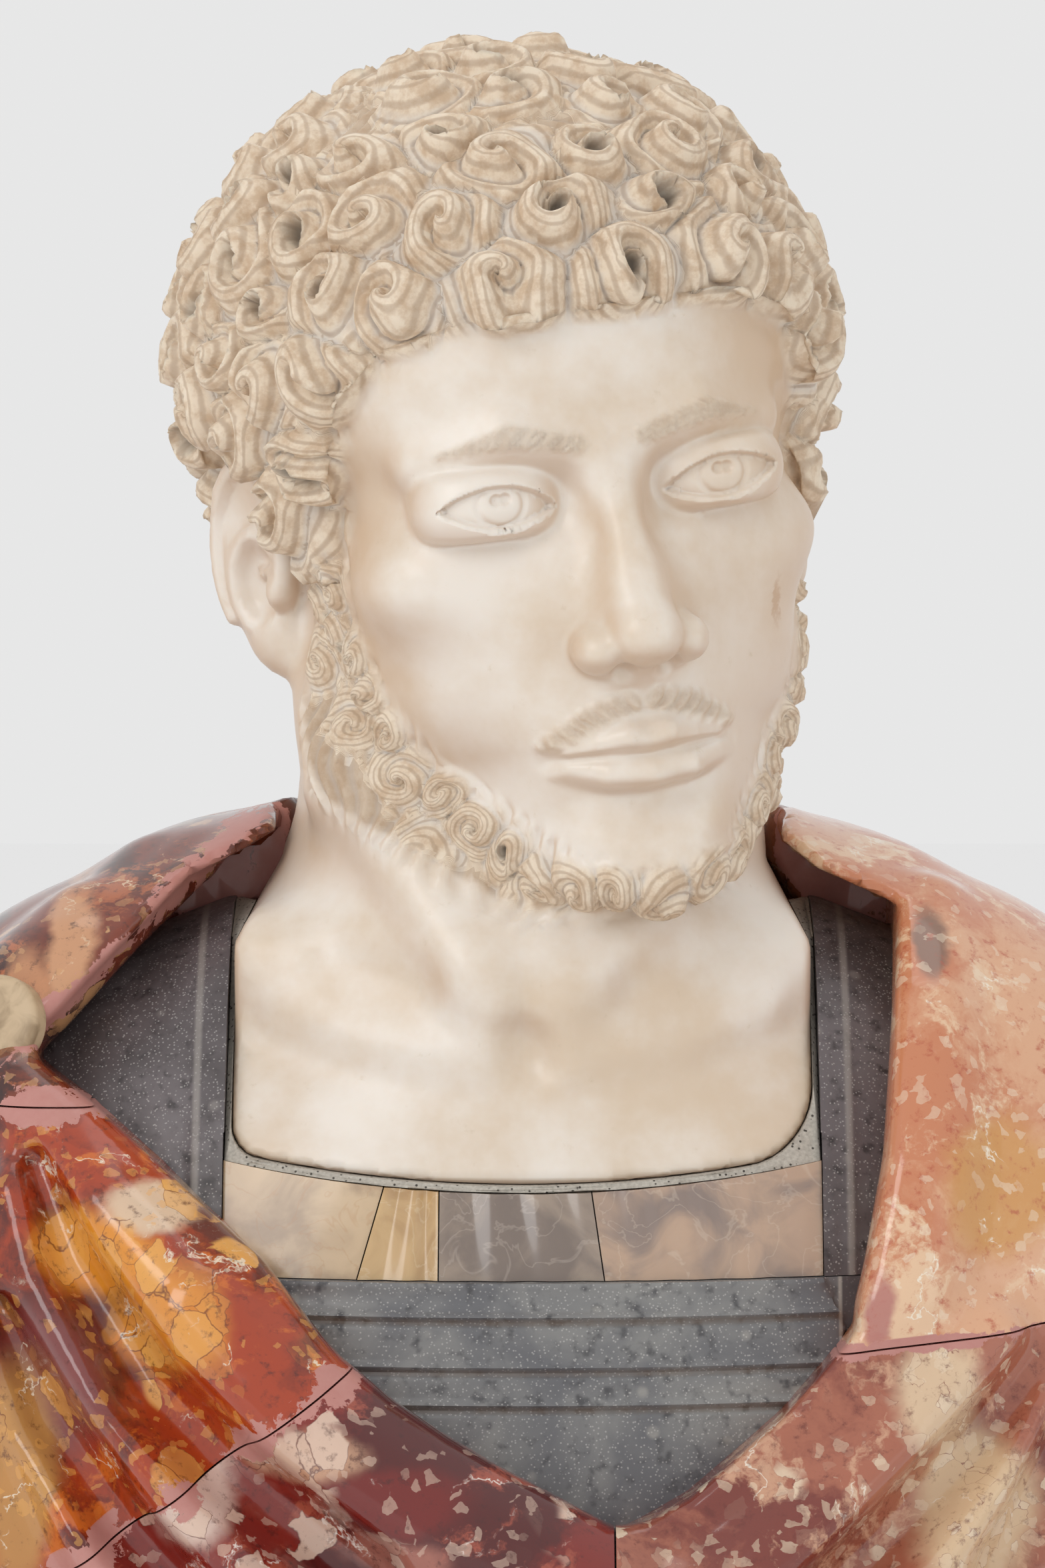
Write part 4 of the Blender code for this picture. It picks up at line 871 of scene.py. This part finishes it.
# Grey marble rubbed to a half gloss: clouds of 40 mm, dark mottling of 5 mm, a pale line on each fillet and
# edge.
# Its white crystals are drawn 1.2 mm apart, coarser than they are, so that they show.
plates = [(breastplate, "cuirass_breastplate")]
straps = [(right_strap, "cuirass_strap_right"), (left_strap, "cuirass_strap_left")]
for name, pieces, tones in (("plate_marble", plates, ("#656568", "#8A8986", "#C2BDB2", "#4B4A4C")),
                            ("strap_marble", straps, ("#4D4647", "#686163", "#A29C96", "#353031"))):
    stone, shader = stone_material(name, 0.42, 0.12)
    wire = stone.node_tree.links.new
    place = add(stone, "TexCoord", {}, 3)
    cloud = add(stone, "TexNoise", {0: place, 2: 26.0, 3: 6.0, 8: 0.6})
    mottle = add(stone, "TexNoise", {0: place, 2: 210.0, 3: 5.0})
    grains = add(stone, "TexVoronoi", {0: place, 2: 850.0})
    big = add(stone, "TexVoronoi", {0: place, 2: 62.0})
    tone = add(stone, "MapRange", {0: cloud, 1: 0.36, 2: 0.66}, **SOFT)
    colour = add(stone, "Mix", {0: tone, 6: tones[0], 7: tones[1]}, 2, **RGB)
    tone = add(stone, "MapRange", {0: mottle, 1: 0.52, 2: 0.75}, **SOFT)
    colour = add(stone, "Mix", {0: tone, 6: colour, 7: tones[3]}, 2, **RGB)
    speck = add(stone, "MapRange", {0: grains, 1: 0.16, 2: 0.30, 3: 0.45, 4: 0.0}, **SOFT)
    colour = add(stone, "Mix", {0: speck, 6: colour, 7: "#C9C6C2"}, 2, **RGB)
    spot = add(stone, "MapRange", {0: big, 1: 0.06, 2: 0.17, 3: 0.7, 4: 0.0}, **SOFT)
    spot = add(stone, "Math", {0: spot, 1: mottle}, operation="MULTIPLY")
    colour = add(stone, "Mix", {0: spot, 6: colour, 7: tones[2]}, 2, **RGB)
    side = add(stone, "SeparateXYZ", {0: place})
    reach = add(stone, "Math", {0: side}, operation="ABSOLUTE")
    off = add(stone, "Math", {0: reach, 1: STRAP_FILLET}, operation="SUBTRACT")
    off = add(stone, "Math", {0: off}, operation="ABSOLUTE")
    line = add(stone, "MapRange", {0: off, 1: 0.0004, 2: 0.0018, 3: 0.55, 4: 0.0}, **SOFT)
    if name == "plate_marble":
        up = side.node.outputs[2]
        for depth in BEADS:
            off = add(stone, "Math", {0: up, 1: PLATE_TOP - depth - 0.0018}, operation="SUBTRACT")
            off = add(stone, "Math", {0: off}, operation="ABSOLUTE")
            rust = add(stone, "MapRange", {0: off, 1: 0.0002, 2: 0.0018, 3: 0.75, 4: 0.0}, **SOFT)
            rust = add(stone, "Math", {0: rust, 1: mottle}, operation="MULTIPLY")
            colour = add(stone, "Mix", {0: rust, 6: colour, 7: "#7D6A5A"}, 2, **RGB)
        ends = {1: CLIPPED_SIDE - 0.0005, 2: CLIPPED_SIDE + 0.0005, 3: 0.0, 4: 0.75}
        beyond = add(stone, "MapRange", {0: side, **ends}, **SOFT)
        colour = add(stone, "Mix", {0: beyond, 6: colour, 7: "#453F42"}, 2, **RGB)
        off = add(stone, "Math", {0: side, 1: CLIPPED_SIDE - 0.0006}, operation="SUBTRACT")
        off = add(stone, "Math", {0: off}, operation="ABSOLUTE")
        line = add(stone, "MapRange", {0: off, 1: 0.0002, 2: 0.0009, 3: 0.5, 4: 0.0}, **SOFT)
    colour = add(stone, "Mix", {0: line, 6: colour, 7: tones[2]}, 2, **RGB)
    wire(colour, shader.inputs["Base Color"])
    wire(add(stone, "MapRange", {0: mottle, 1: 0.3, 2: 0.7, 3: 0.34, 4: 0.55}), shader.inputs["Roughness"])
    wire(add(stone, "Bump", {0: 0.25, 1: 0.0004, 2: mottle}), shader.inputs["Normal"])
    for piece, node in pieces:
        piece.data.materials.clear()
        piece.data.materials.append(stone)
        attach(piece, "root")
        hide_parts(node)


# Cloak: a heavy military cloak in seven blocks of coloured breccia, carved in deep folds, joined with
# pink stucco, and polished until it reflects. It is pinned on the right shoulder and crosses the chest.
CLOAK_COVER = 0.0240
CUT_BACK = 0.0300
CUT_COLLAR = 0.3280
CUT_FRONT = 0.0280
CUT_SHOULDER = 0.2900
OPENING = [(-0.0790, 0.4600), (-0.0790, 0.3718), (-0.0890, 0.3660), (-0.1063, 0.3577), (-0.1325, 0.3321),
           (-0.1516, 0.3129), (-0.1535, 0.3011), (-0.1356, 0.2903), (-0.1128, 0.2725), (-0.0952, 0.2571),
           (-0.0807, 0.2435), (-0.0588, 0.2138), (-0.0252, 0.1910), (0.0078, 0.1733), (0.0271, 0.1625),
           (0.0507, 0.1754), (0.0796, 0.1993), (0.1027, 0.2242), (0.1090, 0.2427), (0.1165, 0.2752),
           (0.1196, 0.3492), (0.0941, 0.3603), (0.0828, 0.3690), (0.0803, 0.4600)]
ROLLS = [([(-0.1601, 0.2934), (-0.1280, 0.2573), (-0.0991, 0.2286), (-0.0790, 0.2071), (-0.0541, 0.1854),
           (-0.0196, 0.1644), (0.0196, 0.1448), (0.0591, 0.1214), (0.1090, 0.0960)], 0.022, 0.022, 0.014),
         ([(-0.1585, 0.2615), (-0.1393, 0.2266), (-0.1238, 0.2031), (-0.1066, 0.1767), (-0.0886, 0.1559),
           (-0.0589, 0.1323), (-0.0196, 0.1084), (0.0393, 0.0833)], 0.012, 0.028, 0.020),
         ([(-0.1683, 0.2397), (-0.1472, 0.1919), (-0.1308, 0.1635), (-0.1086, 0.1302), (-0.0589, 0.0928)],
          0.010, 0.028, 0.020),
         ([(-0.1916, 0.2481), (-0.1784, 0.1996), (-0.1648, 0.1507), (-0.1391, 0.1030)], 0.011, 0.028, 0.022),
         ([(-0.1054, 0.3590), (-0.1277, 0.3420), (-0.1521, 0.3190)], 0.010, 0.014, 0.012),
         ([(-0.1210, 0.3580), (-0.1450, 0.3360), (-0.1690, 0.3120)], 0.010, 0.018, 0.012),
         ([(-0.1430, 0.3450), (-0.1700, 0.3190), (-0.1900, 0.2940)], 0.010, 0.019, 0.014),
         ([(0.1310, 0.3480), (0.1291, 0.3171), (0.1254, 0.2694), (0.1187, 0.2330)], 0.012, 0.018, 0.014),
         ([(0.1461, 0.2217), (0.1192, 0.1951), (0.1013, 0.1745), (0.0738, 0.1551), (0.0491, 0.1352)],
          0.013, 0.026, 0.016),
         ([(0.1721, 0.2051), (0.1492, 0.1740), (0.1186, 0.1494), (0.0836, 0.1216)], 0.012, 0.028, 0.020),
         ([(0.2072, 0.2122), (0.1892, 0.1632), (0.1597, 0.1211)], 0.012, 0.028, 0.020)]
VALLEYS = [([(-0.1505, 0.2744), (-0.1396, 0.2460), (-0.1158, 0.2102), (-0.0886, 0.1847), (-0.0490, 0.1542)],
            0.0060),
           ([(-0.1620, 0.2304), (-0.1462, 0.1978), (-0.1206, 0.1641), (-0.0936, 0.1360)], 0.0050),
           ([(0.1597, 0.2144), (0.1390, 0.1898), (0.1144, 0.1656), (0.0886, 0.1411)], 0.0060),
           ([(0.1785, 0.2195), (0.1658, 0.1856), (0.1502, 0.1531)], 0.0060)]
BACK_FOLDS = [[(0.03, 0.32), (0.05, 0.22), (0.06, 0.12), (0.065, -0.03)],
              [(0.10, 0.31), (0.12, 0.22), (0.125, 0.12), (0.12, -0.03)],
              [(0.17, 0.29), (0.18, 0.22), (0.172, 0.12), (0.165, -0.03)],
              [(-0.05, 0.32), (-0.03, 0.22), (-0.015, 0.12), (-0.01, -0.03)],
              [(-0.12, 0.31), (-0.10, 0.22), (-0.09, 0.12), (-0.085, -0.03)],
              [(-0.18, 0.28), (-0.17, 0.22), (-0.16, 0.12), (-0.15, -0.03)]]


def cloak(p):
    d = torso(p) - CLOAK_COVER
    collar = [(-0.112, 0.020, 0.345), (-0.088, 0.072, 0.354), (-0.045, 0.098, 0.358), (0.0, 0.104, 0.359),
              (0.045, 0.098, 0.356), (0.088, 0.072, 0.350), (0.112, 0.020, 0.341)]
    d = smooth_min(d, rod(p, collar, [0.019] * 7), 0.020)
    front = np.maximum(outline(p[:, [0, 2]], OPENING), p[:, 1] - CUT_BACK)
    d = smooth_max(d, -front, 0.006)
    for path, radius, out, soft in ROLLS:
        sizes = [radius * min(1.0, 0.4 + 0.3 * k) for k in range(len(path))]
        d = smooth_min(d, rod(p, cloth_front(path, out, -1.0), sizes), soft)
    for path, radius in VALLEYS:
        for lift in (0.004, 0.013, 0.024):
            way = cloth_front(path, CLOAK_COVER + lift, -1.0)
            sizes = [(radius + lift / 4) * min(1.0, 0.3 + 0.5 * k) for k in range(len(path))]
            d = smooth_max(d, -rod(p, way, sizes), 0.010)
    for path in BACK_FOLDS:
        d = smooth_min(d, rod(p, cloth_front(path, CLOAK_COVER, 1.0), [0.008, 0.010, 0.011, 0.011]), 0.024)
    shaft = rod(p, [(0.003, 0.015, NECK_FOOT - 0.032), (0.003, 0.015, NECK_FOOT), (0.003, 0.015, 0.6)],
                [NECK_RADIUS + 0.023, NECK_RADIUS + 0.005, NECK_RADIUS + 0.005])
    d = smooth_max(d, -np.maximum(shaft, 0.30 - p[:, 2]), 0.005)
    return np.maximum(d, -p[:, 2])


CLOAK_STEP = 0.0034


def hollow_cloak(p):
    return smooth_max(cloak(p), -(torso(p) + 0.004), 0.002)


low, high = (-0.315, -0.190, -0.012), (0.315, 0.185, 0.415)
points, faces = surface_net(sampled(hollow_cloak, low, high, CLOAK_STEP), low, CLOAK_STEP)
whole = piece_from("whole_cloak", points, faces)
refine(whole, lambda q: (q[:, 1] < 0.0) & (q[:, 2] > 0.115) & (torso(q) > 0.0) & (np.abs(q[:, 0]) < 0.21))
points = on_surface(hollow_cloak, corners_of(whole), 2, 0.0004)
points[:, 2] = np.maximum(points[:, 2], 0.0)
whole.data.vertices.foreach_set("co", points.ravel())
front = ((0, CUT_BACK, 0), (0, 1, 0))
back = ((0, CUT_BACK, 0), (0, -1, 0))
shoulder = (0, 0, CUT_SHOULDER)
middle = (CUT_FRONT, 0, 0)
slant = ((-0.0584, 0, 0.2105), (0.0435, 0, -0.0594))
against = ((-0.0584, 0, 0.2105), (-0.0435, 0, 0.0594))
chest = ((0.112, 0, 0.2192), (-0.104, 0, 1))
above = ((0.112, 0, 0.2192), (0.104, 0, -1))
# Each stone: its cuts; deep, warm, bright, pale and vein colours; the fleck in it; patches where one tone
# gathers (x, z, half width, half height, colour, share of clasts); clasts to the metre and their share;
# share of veins; and the stucco joints on it (a point, the way across, half width).
EDGE = ((-0.129, 0, 0.3353), (-0.703, 0, 0.711), 0.0055)
TOP_JOINT = (shoulder, (0, 0, 1), 0.0065)
SLANT_JOINT = (slant[0], slant[1], 0.0070)
CHEST_JOINT = (chest[0], chest[1], 0.0028)
stones = (
    ("cloak_collar", [back, ((0, 0, CUT_COLLAR), (0, 0, -1))],
     ("#3B1A14", "#6B2E20", "#96512F", "#C79468", "#D9BC9A"), "#2C1613",
     [(0.10, 0.36, 0.05, 0.03, "#9A5A3C", 0.0)], 110, -0.3, 0.4, [((0, CUT_BACK, 0), (0, 1, 0), 0.003)]),
    ("cloak_back", [back, ((0, 0, CUT_COLLAR), (0, 0, 1))],
     ("#541D14", "#84351F", "#A95C30", "#D0A070", "#E0C8A8"), "#451811", [], 95, -0.10, 0.6, []),
    ("cloak_right_shoulder", [front, (middle, (1, 0, 0)), (shoulder, (0, 0, -1))],
     ("#421C14", "#7C341C", "#AE5E32", "#D29E6C", "#DDC0A0"), "#2F1612",
     [(-0.142, 0.338, 0.007, 0.016, "#CF9A72", 0.1), (-0.156, 0.322, 0.008, 0.014, "#C48A62", 0.1)],
     110, -0.35, 0.4, [EDGE, TOP_JOINT]),
    ("cloak_right_chest", [front, (middle, (1, 0, 0)), (shoulder, (0, 0, 1)), slant],
     ("#5E1B0D", "#A53A13", "#C8631E", "#E3A552", "#EBDDC6"), "#4C150C",
     [(-0.131, 0.249, 0.016, 0.011, "#E0902A", 1.0), (-0.108, 0.228, 0.017, 0.014, "#D8852A", 1.0),
      (-0.113, 0.262, 0.013, 0.006, "#DCC0A2", 0.5), (-0.145, 0.207, 0.015, 0.022, "#7D3E3C", 0.0),
      (-0.155, 0.178, 0.011, 0.030, "#C08C4C", 0.1)], 80, -0.22, 0.5, [TOP_JOINT, SLANT_JOINT]),
    ("cloak_lower_front", [front, (middle, (1, 0, 0)), (shoulder, (0, 0, 1)), against],
     ("#541310", "#80241A", "#A04C38", "#DABCA8", "#F0E6DC"), "#45100D",
     [(-0.100, 0.178, 0.012, 0.014, "#DAC0B2", 0.0), (-0.066, 0.190, 0.016, 0.007, "#C79A7C", 0.2),
      (-0.040, 0.178, 0.020, 0.008, "#741A13", 0.0), (-0.038, 0.160, 0.015, 0.007, "#A8695A", 0.4)],
     90, -0.2, 0.3, [SLANT_JOINT]),
    ("cloak_left_shoulder", [front, (middle, (-1, 0, 0)), above],
     ("#C9805A", "#DBA884", "#E4BF9C", "#EAD6BC", "#F0E4D0"), "#B04A2C",
     [(0.148, 0.266, 0.016, 0.018, "#CE9450", 0.2), (0.129, 0.338, 0.005, 0.010, "#7C5A48", 0.0),
      (0.110, 0.231, 0.004, 0.011, "#B5746C", 0.0)], 120, -0.75, 0.3, [CHEST_JOINT]),
    ("cloak_left_chest", [front, (middle, (-1, 0, 0)), chest],
     ("#7A3428", "#A8634B", "#C9987A", "#E2CCB0", "#EDE0CE"), "#662419",
     [(0.128, 0.206, 0.012, 0.014, "#DCC09E", 0.4), (0.140, 0.168, 0.016, 0.022, "#DBBE98", 0.2),
      (0.108, 0.226, 0.005, 0.006, "#B5746C", 0.0)], 190, -0.28, 0.4, [CHEST_JOINT]),
)
# Polished breccia under a clear coat, glassy at 0.13 to 0.24 roughness: a ground that flowed, clasts of
# 5 to 14 mm with dark seams, chips of 3 mm, white veins and flecks of 4 mm. The stucco in the joints is dull.
for name, cuts, colours, fleck, patches, grain, clasts, veins, joints in stones:
    deep, warm, bright, pale, white = colours
    stone_piece = divided(whole, name + "_block", cuts, 0.0003)
    stone, shader = stone_material(name + "_marble", 0.15, 0.5, 0.0)
    wire = stone.node_tree.links.new
    place = add(stone, "TexCoord", {}, 3)
    drift = add(stone, "TexNoise", {0: place, 2: 26.0, 3: 5.0, 4: 0.6}, 1)
    drift = add(stone, "VectorMath", {0: drift, 1: (0.5, 0.5, 0.5)}, operation="SUBTRACT")
    drift = add(stone, "VectorMath", {0: drift, 3: 0.050}, operation="SCALE")
    bent = add(stone, "VectorMath", {0: place, 1: drift}, operation="ADD")
    rough_drift = add(stone, "VectorMath", {0: drift, 3: 0.35}, operation="SCALE")
    jag = add(stone, "VectorMath", {0: place, 1: rough_drift}, operation="ADD")
    big = add(stone, "TexNoise", {0: bent, 2: 13.0, 3: 8.0, 4: 0.62, 8: 0.4})
    medium = add(stone, "TexNoise", {0: bent, 2: 38.0, 3: 8.0, 4: 0.65})
    fine = add(stone, "TexNoise", {0: place, 2: 230.0, 3: 7.0, 4: 0.7})
    field = add(stone, "TexNoise", {0: place, 2: 17.0, 3: 3.0})
    tone = add(stone, "MapRange", {0: big, 1: 0.43, 2: 0.55}, **SOFT)
    colour = add(stone, "Mix", {0: tone, 6: deep, 7: warm}, 2, **RGB)
    tone = add(stone, "MapRange", {0: medium, 1: 0.53, 2: 0.62}, **SOFT)
    colour = add(stone, "Mix", {0: tone, 6: colour, 7: bright}, 2, **RGB)
    gathered = 0.55 * clasts
    for x, z, wide, tall, patch, share in patches:
        off = add(stone, "VectorMath", {0: jag, 1: (x, 0.0, z)}, operation="SUBTRACT")
        off = add(stone, "VectorMath", {0: off, 1: (1 / wide, 0.0, 1 / tall)}, operation="MULTIPLY")
        off = add(stone, "VectorMath", {0: off}, 1, operation="LENGTH")
        tone = add(stone, "MapRange", {0: off, 1: 0.8, 2: 1.45, 3: 0.9, 4: 0.0}, **SOFT)
        colour = add(stone, "Mix", {0: tone, 6: colour, 7: patch}, 2, **RGB)
        if share:
            tone = add(stone, "Math", {0: tone, 1: 0.55 * share}, operation="MULTIPLY")
            gathered = add(stone, "Math", {0: gathered, 1: tone}, operation="ADD")
    blobs = add(stone, "TexVoronoi", {0: jag, 2: float(grain), 8: 1.0}, 1)
    seams = add(stone, "TexVoronoi", {0: jag, 2: float(grain), 8: 1.0}, 0, feature="DISTANCE_TO_EDGE")
    pick = add(stone, "SeparateColor", {0: blobs})
    other = pick.node.outputs[1]
    chosen = add(stone, "Math", {0: pick, 1: field}, operation="ADD")
    chosen = add(stone, "Math", {0: chosen, 1: gathered}, operation="ADD")
    chosen = add(stone, "MapRange", {0: chosen, 1: 1.24, 2: 1.28, 4: 0.9}, **SOFT)
    shade = add(stone, "Mix", {0: other, 6: colour, 7: pale}, 2, **RGB)
    colour = add(stone, "Mix", {0: chosen, 6: colour, 7: shade}, 2, **RGB)
    line = add(stone, "MapRange", {0: seams, 1: 0.0, 2: 0.03, 3: 0.85, 4: 0.0}, **SOFT)
    line = add(stone, "Math", {0: line, 1: chosen}, operation="MULTIPLY")
    colour = add(stone, "Mix", {0: line, 6: colour, 7: deep}, 2, **RGB)
    chips = add(stone, "TexVoronoi", {0: jag, 2: 300.0}, 1)
    chips = add(stone, "SeparateColor", {0: chips})
    chip = add(stone, "MapRange", {0: chips, 1: 0.90, 2: 0.94, 4: 0.8}, **SOFT)
    chip = add(stone, "Math", {0: chip, 1: medium}, operation="MULTIPLY")
    colour = add(stone, "Mix", {0: chip, 6: colour, 7: pale}, 2, **RGB)
    vein = add(stone, "TexNoise", {0: bent, 2: 20.0, 3: 6.0, 4: 0.55})
    vein = add(stone, "Math", {0: vein, 1: 0.5}, operation="SUBTRACT")
    vein = add(stone, "Math", {0: vein}, operation="ABSOLUTE")
    vein = add(stone, "MapRange", {0: vein, 1: 0.001, 2: 0.010, 3: 0.9, 4: 0.0}, **SOFT)
    mask = add(stone, "MapRange", {0: medium, 1: 0.60 - 0.2 * veins, 2: 0.68 - 0.2 * veins}, **SOFT)
    vein = add(stone, "Math", {0: vein, 1: mask}, operation="MULTIPLY")
    colour = add(stone, "Mix", {0: vein, 6: colour, 7: white}, 2, **RGB)
    tone = add(stone, "MapRange", {0: fine, 1: 0.53, 2: 0.70, 4: 0.7}, **SOFT)
    colour = add(stone, "Mix", {0: tone, 6: colour, 7: fleck}, 2, **RGB)
    gloss = add(stone, "MapRange", {0: fine, 1: 0.4, 2: 0.7, 3: 0.13, 4: 0.24})
    for spot, way, wide in joints:
        way = tuple(Vector(way).normalized())
        off = add(stone, "VectorMath", {0: place, 1: spot}, operation="SUBTRACT")
        off = add(stone, "VectorMath", {0: off, 1: way}, 1, operation="DOT_PRODUCT")
        off = add(stone, "Math", {0: off}, operation="ABSOLUTE")
        lump = add(stone, "MapRange", {0: medium, 1: 0.40, 2: 0.60, 3: 0.0, 4: 1.0}, **SOFT)
        lump = add(stone, "Math", {0: lump, 1: wide}, operation="MULTIPLY")
        off = add(stone, "Math", {0: off, 1: lump}, operation="SUBTRACT")
        tone = add(stone, "MapRange", {0: off, 1: -0.0002, 2: 0.0003, 3: 1.0, 4: 0.0}, **SOFT)
        putty = add(stone, "Mix", {0: fine, 6: "#B5746C", 7: "#C48E84"}, 2, **RGB)
        colour = add(stone, "Mix", {0: tone, 6: colour, 7: putty}, 2, **RGB)
        gloss = add(stone, "Mix", {0: tone, 2: gloss, 3: 0.7}, 0)
    wire(colour, shader.inputs["Base Color"])
    wire(gloss, shader.inputs["Roughness"])
    stone_piece.data.materials.append(stone)
    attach(stone_piece, "root")
    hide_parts(name)
bpy.data.objects.remove(whole, do_unlink=True)


# Fibula: the round brooch that holds the cloak, a thick disc of honey-coloured marble, eased at its rim
# and let into the right shoulder's stone with its face turned up and outward.
FIBULA_PLACE = (-0.1655, 0.3130)
FIBULA_RADIUS = 0.0160
FIBULA_DEPTH = 0.0070
FIBULA_SUNK = 0.0034
spot = np.array([(FIBULA_PLACE[0], 0.02, FIBULA_PLACE[1])])
seat = Vector(strike(cloak, spot, np.array([(0.0, -1.0, 0.0)]), 0.3)[0])
facing = Vector((-0.42, -0.82, 0.30)).normalized()
around = 72
rings = [(0.55, 1.0), (0.86, 0.97), (0.95, 0.90), (0.99, 0.80), (1.0, 0.6), (1.0, 0.0)]
points, faces = [], []
for row, (r, h) in enumerate(rings):
    for k in range(around):
        turn = 2 * math.pi * k / around
        wide = FIBULA_RADIUS * r
        points.append((wide * math.cos(turn), wide * math.sin(turn), FIBULA_DEPTH * h))
        if row + 1 < len(rings):
            here, after = row * around + k, row * around + (k + 1) % around
            faces.append([here, after, after + around, here + around])
faces += [list(range(around)), list(range((len(rings) - 1) * around, len(rings) * around))]
fibula = solid_piece("fibula_disc", points, faces, 40)
turned = facing.to_track_quat("Z", "Y").to_matrix().to_4x4()
fibula.data.transform(Matrix.Translation(seat - facing * FIBULA_SUNK) @ turned)
# Dry honey marble, hardly polished, with clouds of 8 mm.
honey, shader = stone_material("honey_marble", 0.5, 0.0, 0.0)
wire = honey.node_tree.links.new
place = add(honey, "TexCoord", {}, 3)
cloud = add(honey, "TexNoise", {0: place, 2: 120.0, 3: 6.0, 8: 0.8})
tone = add(honey, "MapRange", {0: cloud, 1: 0.35, 2: 0.7}, **SOFT)
wire(add(honey, "Mix", {0: tone, 6: "#C6AD8C", 7: "#9A8264"}, 2, **RGB), shader.inputs["Base Color"])
fibula.data.materials.append(honey)
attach(fibula, "root")
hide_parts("fibula")


# Floor, light and camera: a white paper floor, an even white room, and three softboxes of which the one
# at the upper left does the modelling. The camera stands 2.1 m away and looks down by 3 degrees.
FLOOR_REACH = 6.0
CAMERA_AWAY = 2.1
CAMERA_RISE = math.radians(3)
FRAME_HEIGHT = 0.484
SENSOR_HEIGHT = 36
plane = bmesh.new()
bmesh.ops.create_grid(plane, x_segments=1, y_segments=1, size=FLOOR_REACH)
mesh = bpy.data.meshes.new("floor")
plane.to_mesh(mesh)
plane.free()
floor = bpy.data.objects.new("floor", mesh)
bpy.context.collection.objects.link(floor)
floor.location = (0, 0, -0.0005)
paper = bpy.data.materials.new("pale_floor")
paper.use_nodes = True
paper.node_tree.nodes["Principled BSDF"].inputs["Base Color"].default_value = linear("#FCFCFC")
paper.node_tree.nodes["Principled BSDF"].inputs["Roughness"].default_value = 0.9
mesh.materials.append(paper)
world = bpy.data.worlds.new("studio")
bpy.context.scene.world = world
world.use_nodes = True
backdrop = world.node_tree.nodes["Background"]
backdrop.inputs[0].default_value = (1.0, 1.0, 1.0, 1.0)
backdrop.inputs[1].default_value = 0.80


def softbox(name, place, aim, power, width, height):
    lamp = bpy.data.lights.new(name, "AREA")
    lamp.shape = "RECTANGLE"
    lamp.size, lamp.size_y = width, height
    lamp.energy = power
    holder = bpy.data.objects.new(name, lamp)
    bpy.context.collection.objects.link(holder)
    holder.location = place
    holder.rotation_euler = (Vector(aim) - Vector(place)).to_track_quat("-Z", "Y").to_euler()


softbox("key", (-1.3, -1.5, 1.5), (0, 0, 0.38), 11, 0.9, 1.2)
softbox("fill", (1.6, -1.1, 0.8), (0, 0, 0.36), 1.2, 0.8, 1.4)
softbox("top", (0.1, 0.3, 2.0), (0, 0, 0.4), 2.5, 1.2, 0.8)
camera = bpy.data.cameras.new("camera")
camera.sensor_fit = "VERTICAL"
camera.sensor_height = SENSOR_HEIGHT
camera.lens = SENSOR_HEIGHT * CAMERA_AWAY / FRAME_HEIGHT
eye = bpy.data.objects.new("camera", camera)
bpy.context.collection.objects.link(eye)
aim = Vector((0.0, -0.09, 0.3908))
eye.location = aim + CAMERA_AWAY * Vector((0, -math.cos(CAMERA_RISE), math.sin(CAMERA_RISE)))
eye.rotation_euler = (aim - eye.location).to_track_quat("-Z", "Y").to_euler()
bpy.context.scene.camera = eye
bpy.context.scene.view_settings.view_transform = "Standard"
